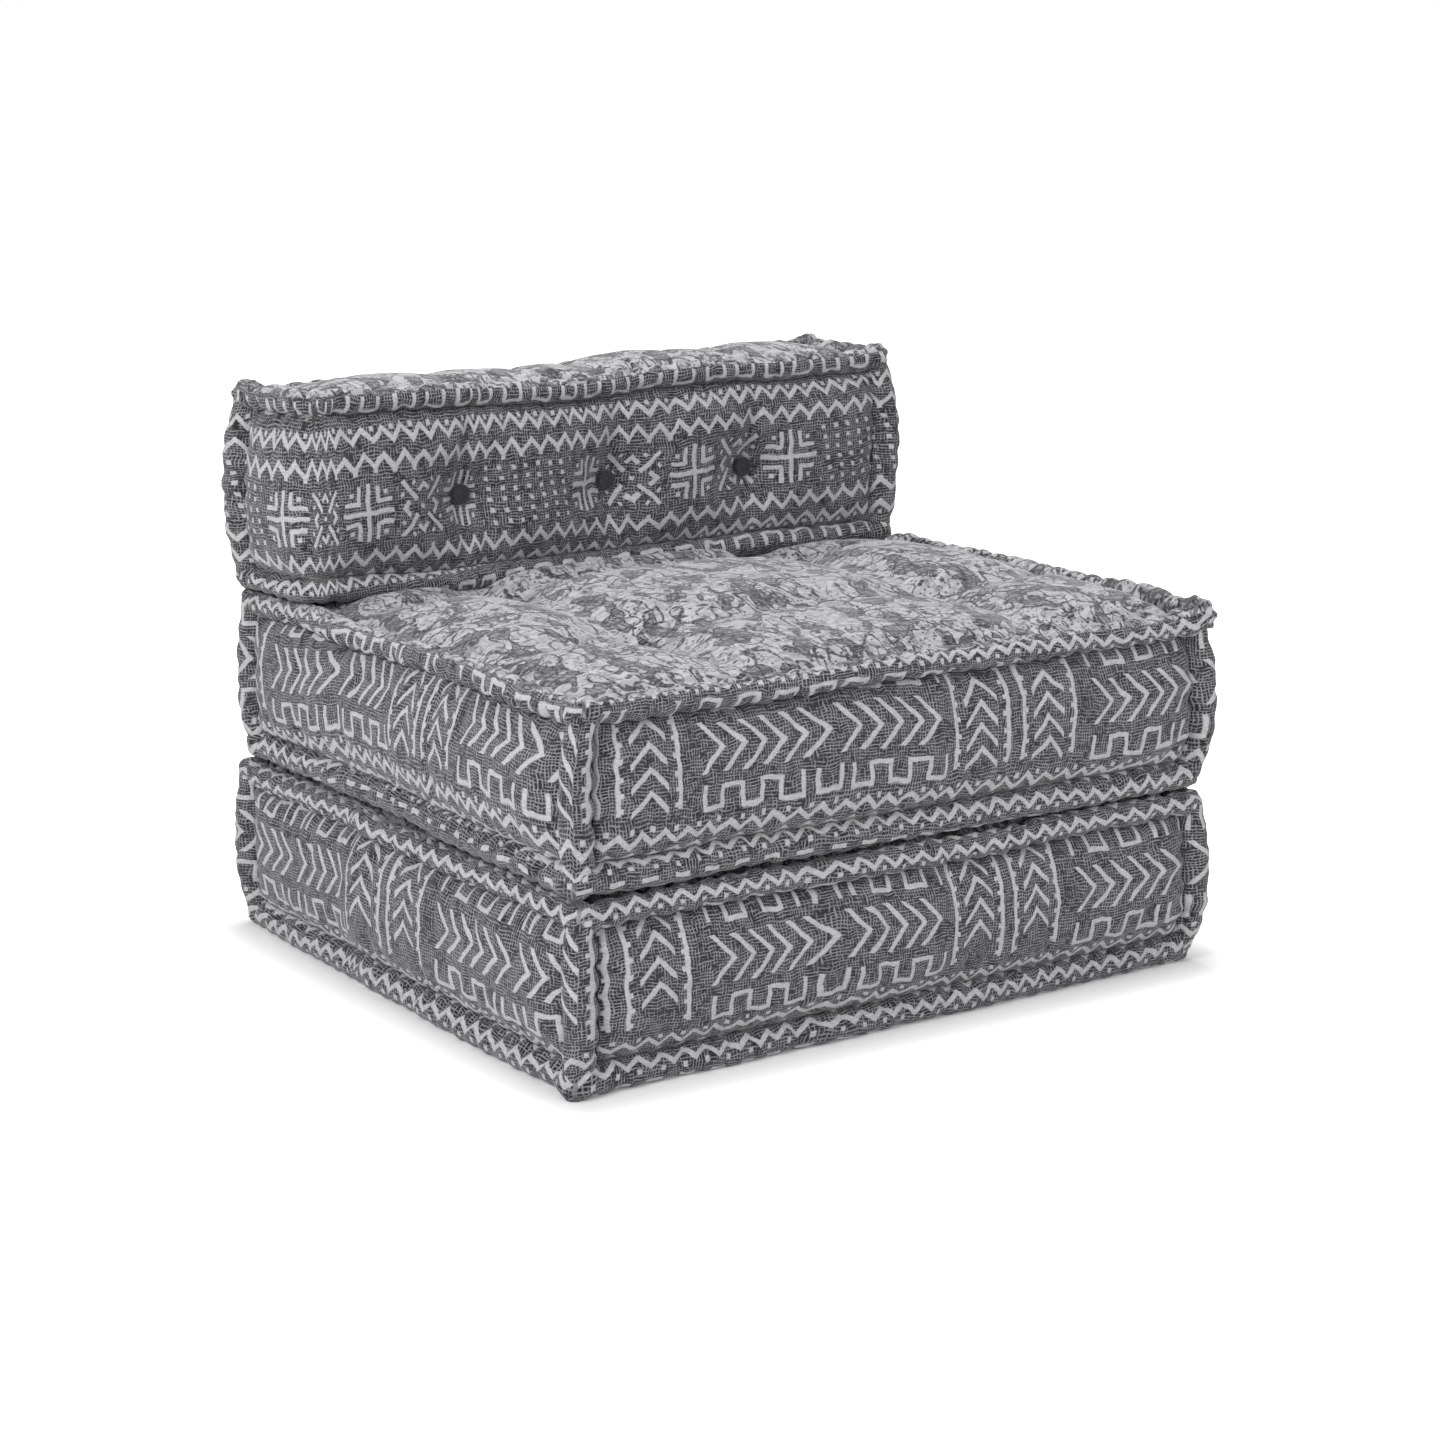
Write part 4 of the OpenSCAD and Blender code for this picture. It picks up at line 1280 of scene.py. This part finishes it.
def sewnEdges(shape, every):
    # stitch points hold along a seam, and the cloth is free between them
    held = np.zeros(shape, bool)
    held[[0, -1], ::every] = True
    held[::every, [0, -1]] = True
    return held


def nearTufts(points, centres, reach=14):
    held = np.zeros(points.shape[:2], bool)
    for centre in centres:
        held |= np.linalg.norm(points - np.array(centre), axis=-1) < reach
    return held


def settle(piece, body, node):
    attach(piece, body)
    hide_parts(node)
    return piece


def settleSheet(piece, points, body, node, smooth=True):
    # the finished sheet is smoothed unless told not to, and given the cloth's thickness
    finished = np.zeros(points.size)
    piece.data.vertices.foreach_get("co", finished)
    if smooth:
        finer = piece.modifiers.new("finer", "SUBSURF")
        finer.levels = finer.render_levels = 1
    cloth = piece.modifiers.new("cloth", "SOLIDIFY")
    cloth.thickness = sewing["cloth"] * mm
    cloth.offset = -1
    return settle(piece, body, node)


def joined(name, pieces):
    # one object from several tubes
    form = bmesh.new()
    for piece in pieces:
        form.from_mesh(piece.data)
    mesh = pieces[0].data
    form.to_mesh(mesh)
    form.free()
    pieces[0].name = mesh.name = name
    for piece in pieces[1:]:
        bpy.data.objects.remove(piece)
    return pieces[0]


wadding = {"cell": 13, "under": 4.5, "reach": 35, "rounds": 6}


def moveTo(form, places):
    for point, place in zip(form.verts, places):
        point.co = place


def fillingForm(name, covers):
    # body of wadding in the CAD filling's form, pressed in wherever its cover dips
    cover = bmesh.new()
    graph = bpy.context.evaluated_depsgraph_get()
    for piece in covers:
        cover.from_mesh(piece.evaluated_get(graph).to_mesh())
    shell = BVHTree.FromBMesh(cover)
    cover.free()
    form = bmesh.new()
    form.from_mesh(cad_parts[f"{name}_filling"].data)
    bmesh.ops.remove_doubles(form, verts=form.verts, dist=0.05 * mm)
    bmesh.ops.triangulate(form, faces=form.faces)
    for _ in range(wadding["rounds"]):
        long = [edge for edge in form.edges if edge.calc_length() > wadding["cell"] * mm]
        if not long:
            break
        bmesh.ops.subdivide_edges(form, edges=long, cuts=1)
        bmesh.ops.triangulate(form, faces=[face for face in form.faces if len(face.verts) > 3])
    moveTo(form, leaned(name, np.array([point.co for point in form.verts]) / mm) * mm)
    form.normal_update()
    reach, under = wadding["reach"] * mm, wadding["under"] * mm
    places = []
    for point in form.verts:
        hit = shell.ray_cast(point.co + point.normal * reach, -point.normal, 2 * reach)
        room = (hit[0] - point.co).dot(point.normal) if hit[0] is not None else reach
        places.append(point.co - point.normal * max(0, under - room))
    moveTo(form, places)
    return cladForm(f"{name}Filling", form, cloths["wadding"])


# Which form each cushion's panels take, top first
panelForms = {
    "base": (tuftedLevel, tuftedLevel),
    "seat": (seatTop, tuftedLevel),
    "back": (backTop, levelPanel),
}


def buildBorders(name):
    cushion = cushions[name]
    built = []
    for side, label in enumerate(("Front", "Right", "Rear", "Left")):
        before = 3 if cushion["wrapped"] and side == 0 else None
        if cushion["wrapped"] and side == 3:  # the front one covers it
            continue
        pulled = sewing["backTufts"] if name == "back" and side % 2 == 0 else ()
        tufts = [sideMiddle(cushion, side) + at for at in pulled]
        piece, points = makeBorder(name, side, label, tufts, before)
        depth = cushion["half"][1] - sewing["backTuftSink"]
        y = cushion["centre"][1] + (-depth if side == 0 else depth)
        centres = [(at, y, cushion["low"] + sewing["backTuftHeight"]) for at in pulled]
        puffOut(piece, points, sewnEdges(points.shape[:2], 1) | nearTufts(points, centres))
        built.append(settleSheet(piece, points, name, f"{name}_{label.lower()}_border"))
    return built


def buildPanels(name):
    cushion = cushions[name]
    ceiling = cushion["low"] + cushion["tall"]
    topForm, bottomForm = panelForms[name]
    top, points = makePanel(name, True, topForm, cloths["jacquard"])
    sewn = sewnEdges(points.shape[:2], 4)
    if name != "back":
        sewn |= nearTufts(points, [(x, y, ceiling - sewing["tuftSink"]) for x, y in sewing["seatTufts"]])
    if name != "base":
        ceiling = ceiling + (underFoot(points[..., 1]) if name == "seat" else 99)
        puffOut(top, points, sewn, np.broadcast_to(ceiling, sewn.shape))
    settleSheet(top, points, name, f"{name}_top_panel")
    under, points = makePanel(name, False, bottomForm, cloths["plain"])
    settleSheet(under, points, name, f"{name}_bottom_panel", False)
    return [top, under]


def buildRolls(name):
    rings = []
    for upper, word in ((True, "top"), (False, "bottom")):
        ring = makeRing(name, upper)
        rings.append(settle(ring, name, f"{name}_{word}_roll"))
    corners = range(1, 4) if cushions[name]["wrapped"] else range(4)
    rolls = joined(f"{name}CornerRolls", [makeCornerRoll(name, k) for k in corners])
    return rings + [settle(rolls, name, f"{name}_corner_rolls")]


for cushionName in cushions:
    covers = buildBorders(cushionName) + buildPanels(cushionName) + buildRolls(cushionName)
    filling = fillingForm(cushionName, covers)
    settle(filling, cushionName, f"{cushionName}_filling")
    print(cushionName, "cushion is sewn")

# Felt pads: turned discs with a rounded rim and a hollow that the twine's knot draws in
felt = {"across": 24, "thick": 7, "rim": 2.4, "hollow": 1.8, "knot": 2.6, "turns": 40, "gap": 0.3}


def padProfile():
    # radius and height from the middle of the underside to the middle of the top
    reach, thick, rim = felt["across"] / 2 - felt["rim"], felt["thick"], felt["rim"]
    knot, floor = felt["knot"], felt["thick"] - felt["hollow"]
    rows = [(0.0, 0.0), (reach, 0.0)]
    for way in np.radians(np.linspace(-90, 90, 9)[1:-1]):
        side = rim if way < 0 else thick - rim
        rows.append((reach + rim * math.cos(way), side + rim * math.sin(way)))
    for share in np.linspace(1, 0, 7)[:-1]:
        rows.append((reach * share, thick - felt["hollow"] * (1 - share**2)))
    return rows + [(knot, floor), (knot * 0.8, floor + 1.2), (0.0, floor + 1.7)]


def makePads(name, places, tilt):
    form = bmesh.new()
    turns = felt["turns"]
    for n, place in enumerate(places):
        rings = []
        for radius, height in padProfile():
            ring = []
            for t in range(turns if radius > 0 else 1):
                way = 2 * math.pi * t / turns
                x, y = math.cos(way), math.sin(way)
                worn = 0.35 * float(lumps(x * 9 + n * 40, y * 9 + height, 5, 61)) * (radius > 5)
                spot = Vector(((radius + worn) * x, (radius + worn) * y, height))
                ring.append(form.verts.new((tilt @ spot + Vector(place)) * mm))
            rings.append(ring)
        for a, b in zip(rings, rings[1:]):
            for t in range(turns):
                corners = [a[t % len(a)], a[(t + 1) % len(a)], b[(t + 1) % len(b)], b[t % len(b)]]
                form.faces.new(list(dict.fromkeys(corners)))
    bmesh.ops.recalc_face_normals(form, faces=form.faces)
    return cladForm(name, form, cloths["felt"])


def buildPads(name):
    cushion = cushions[name]
    low, middle = cushion["low"], cushion["centre"][1]
    if name == "back":
        spots = [(x, middle, low + sewing["backTuftHeight"]) for x in sewing["backTufts"]]
        off = Vector((0, cushion["half"][1] - sewing["backTuftSink"] + felt["gap"], 0))
        ways = (("front", -1, math.pi / 2), ("rear", 1, -math.pi / 2))
    else:
        half = cushion["tall"] / 2
        spots = [(x, y, low + half) for x, y in sewing["seatTufts"]]
        off = Vector((0, 0, half - sewing["tuftSink"] + felt["gap"]))
        ways = (("upper", 1, 0), ("lower", -1, math.pi))
    for word, hand, tilt in ways:
        places = [Vector(spot) + hand * off for spot in spots]
        pads = makePads(f"{name}{word.capitalize()}Pads", places, Matrix.Rotation(tilt, 3, "X"))
        settle(pads, name, f"{name}_{word}_pads")


for cushionName in cushions:
    buildPads(cushionName)

# Twines keep their CAD form
for node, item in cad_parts.items():
    if node.endswith("_twines"):
        item.data.materials.clear()
        item.data.materials.append(cloths["twine"])
print("pads and twines are on")

# Studio: pale floor that keeps the shadow, soft lamps, plain white behind
studio = {
    "floorSize": 30.0,
    "floor": "#f2f2f2",
    "floorDeep": "#e6e6e6",
    "floorGlow": (0.1, 1.0),  # beside the sofa, and from where its shadow has ended
    "glowRise": (0.0, 0.14),
    "footprint": (0.405, 0.37, 0.1),
    "ambient": 0.42,
    "aim": (0, 0, 0.3),
    "lamps": (
        {"name": "window", "place": (-3.4, -1.2, 2.6), "size": 1.6, "power": 98},
        {"name": "overhead", "place": (0.4, 0.8, 3.6), "size": 2.0, "power": 60},
        {"name": "fill", "place": (1.8, -4.2, 1.8), "size": 2.6, "power": 49},
    ),
}


def floorMaterial(look):
    # painted floor, matte; for the camera it glows to white where no shadow falls
    made, add = newMaterial("paintedFloor")
    tone = add("MULTIPLY", add("ShaderNodeTexNoise", named={"Scale": 3.0}), 0.02)
    matte = add("ShaderNodeBsdfDiffuse", overlay(add, look["floor"], (tone, look["floorDeep"])))
    place = add("ShaderNodeTexCoord").outputs["Object"]
    place = add("ShaderNodeVectorMath", place, operation="ABSOLUTE")
    place = add("ShaderNodeVectorMath", place, look["footprint"], operation="SUBTRACT")
    place = add("ShaderNodeVectorMath", place, (0, 0, 0), operation="MAXIMUM")
    away = add("ShaderNodeVectorMath", place, operation="LENGTH").outputs["Value"]
    limits = (*look["glowRise"], *look["floorGlow"])
    rise = add("ShaderNodeMapRange", away, *limits, interpolation_type="SMOOTHSTEP")
    seen = add("ShaderNodeLightPath").outputs["Is Camera Ray"]
    glow = add("ShaderNodeEmission", (1, 1, 1, 1), add("MULTIPLY", seen, rise))
    add("ShaderNodeOutputMaterial", add("ShaderNodeAddShader", matte, glow))
    return made


def buildStudio(look):
    form = bmesh.new()
    bmesh.ops.create_grid(form, x_segments=8, y_segments=8, size=look["floorSize"] / 2)
    cladForm("floor", form, floorMaterial(look))
    for lamp in look["lamps"]:
        light = newObject(lamp["name"], bpy.data.lights.new(lamp["name"], "AREA"))
        light.data.size = lamp["size"]
        light.data.energy = lamp["power"]
        light.location = lamp["place"]
        back = Vector(lamp["place"]) - Vector(look["aim"])
        light.rotation_euler = back.to_track_quat("Z", "Y").to_euler()
    world = bpy.data.worlds.new("studio")
    world.use_nodes = True
    world.node_tree.nodes.clear()
    add = functools.partial(addNode, world.node_tree)
    seenBy = add("ShaderNodeLightPath").outputs
    white = strongest(add, *(seenBy[f"Is {ray} Ray"] for ray in ("Camera", "Glossy", "Transmission")))
    strength = add("MULTIPLY_ADD", white, 1 - look["ambient"], look["ambient"])
    add("ShaderNodeOutputWorld", add("ShaderNodeBackground", (1, 1, 1, 1), strength))
    scene.world = world


buildStudio(studio)
scene.view_settings.view_transform = "Standard"
print("studio is lit")
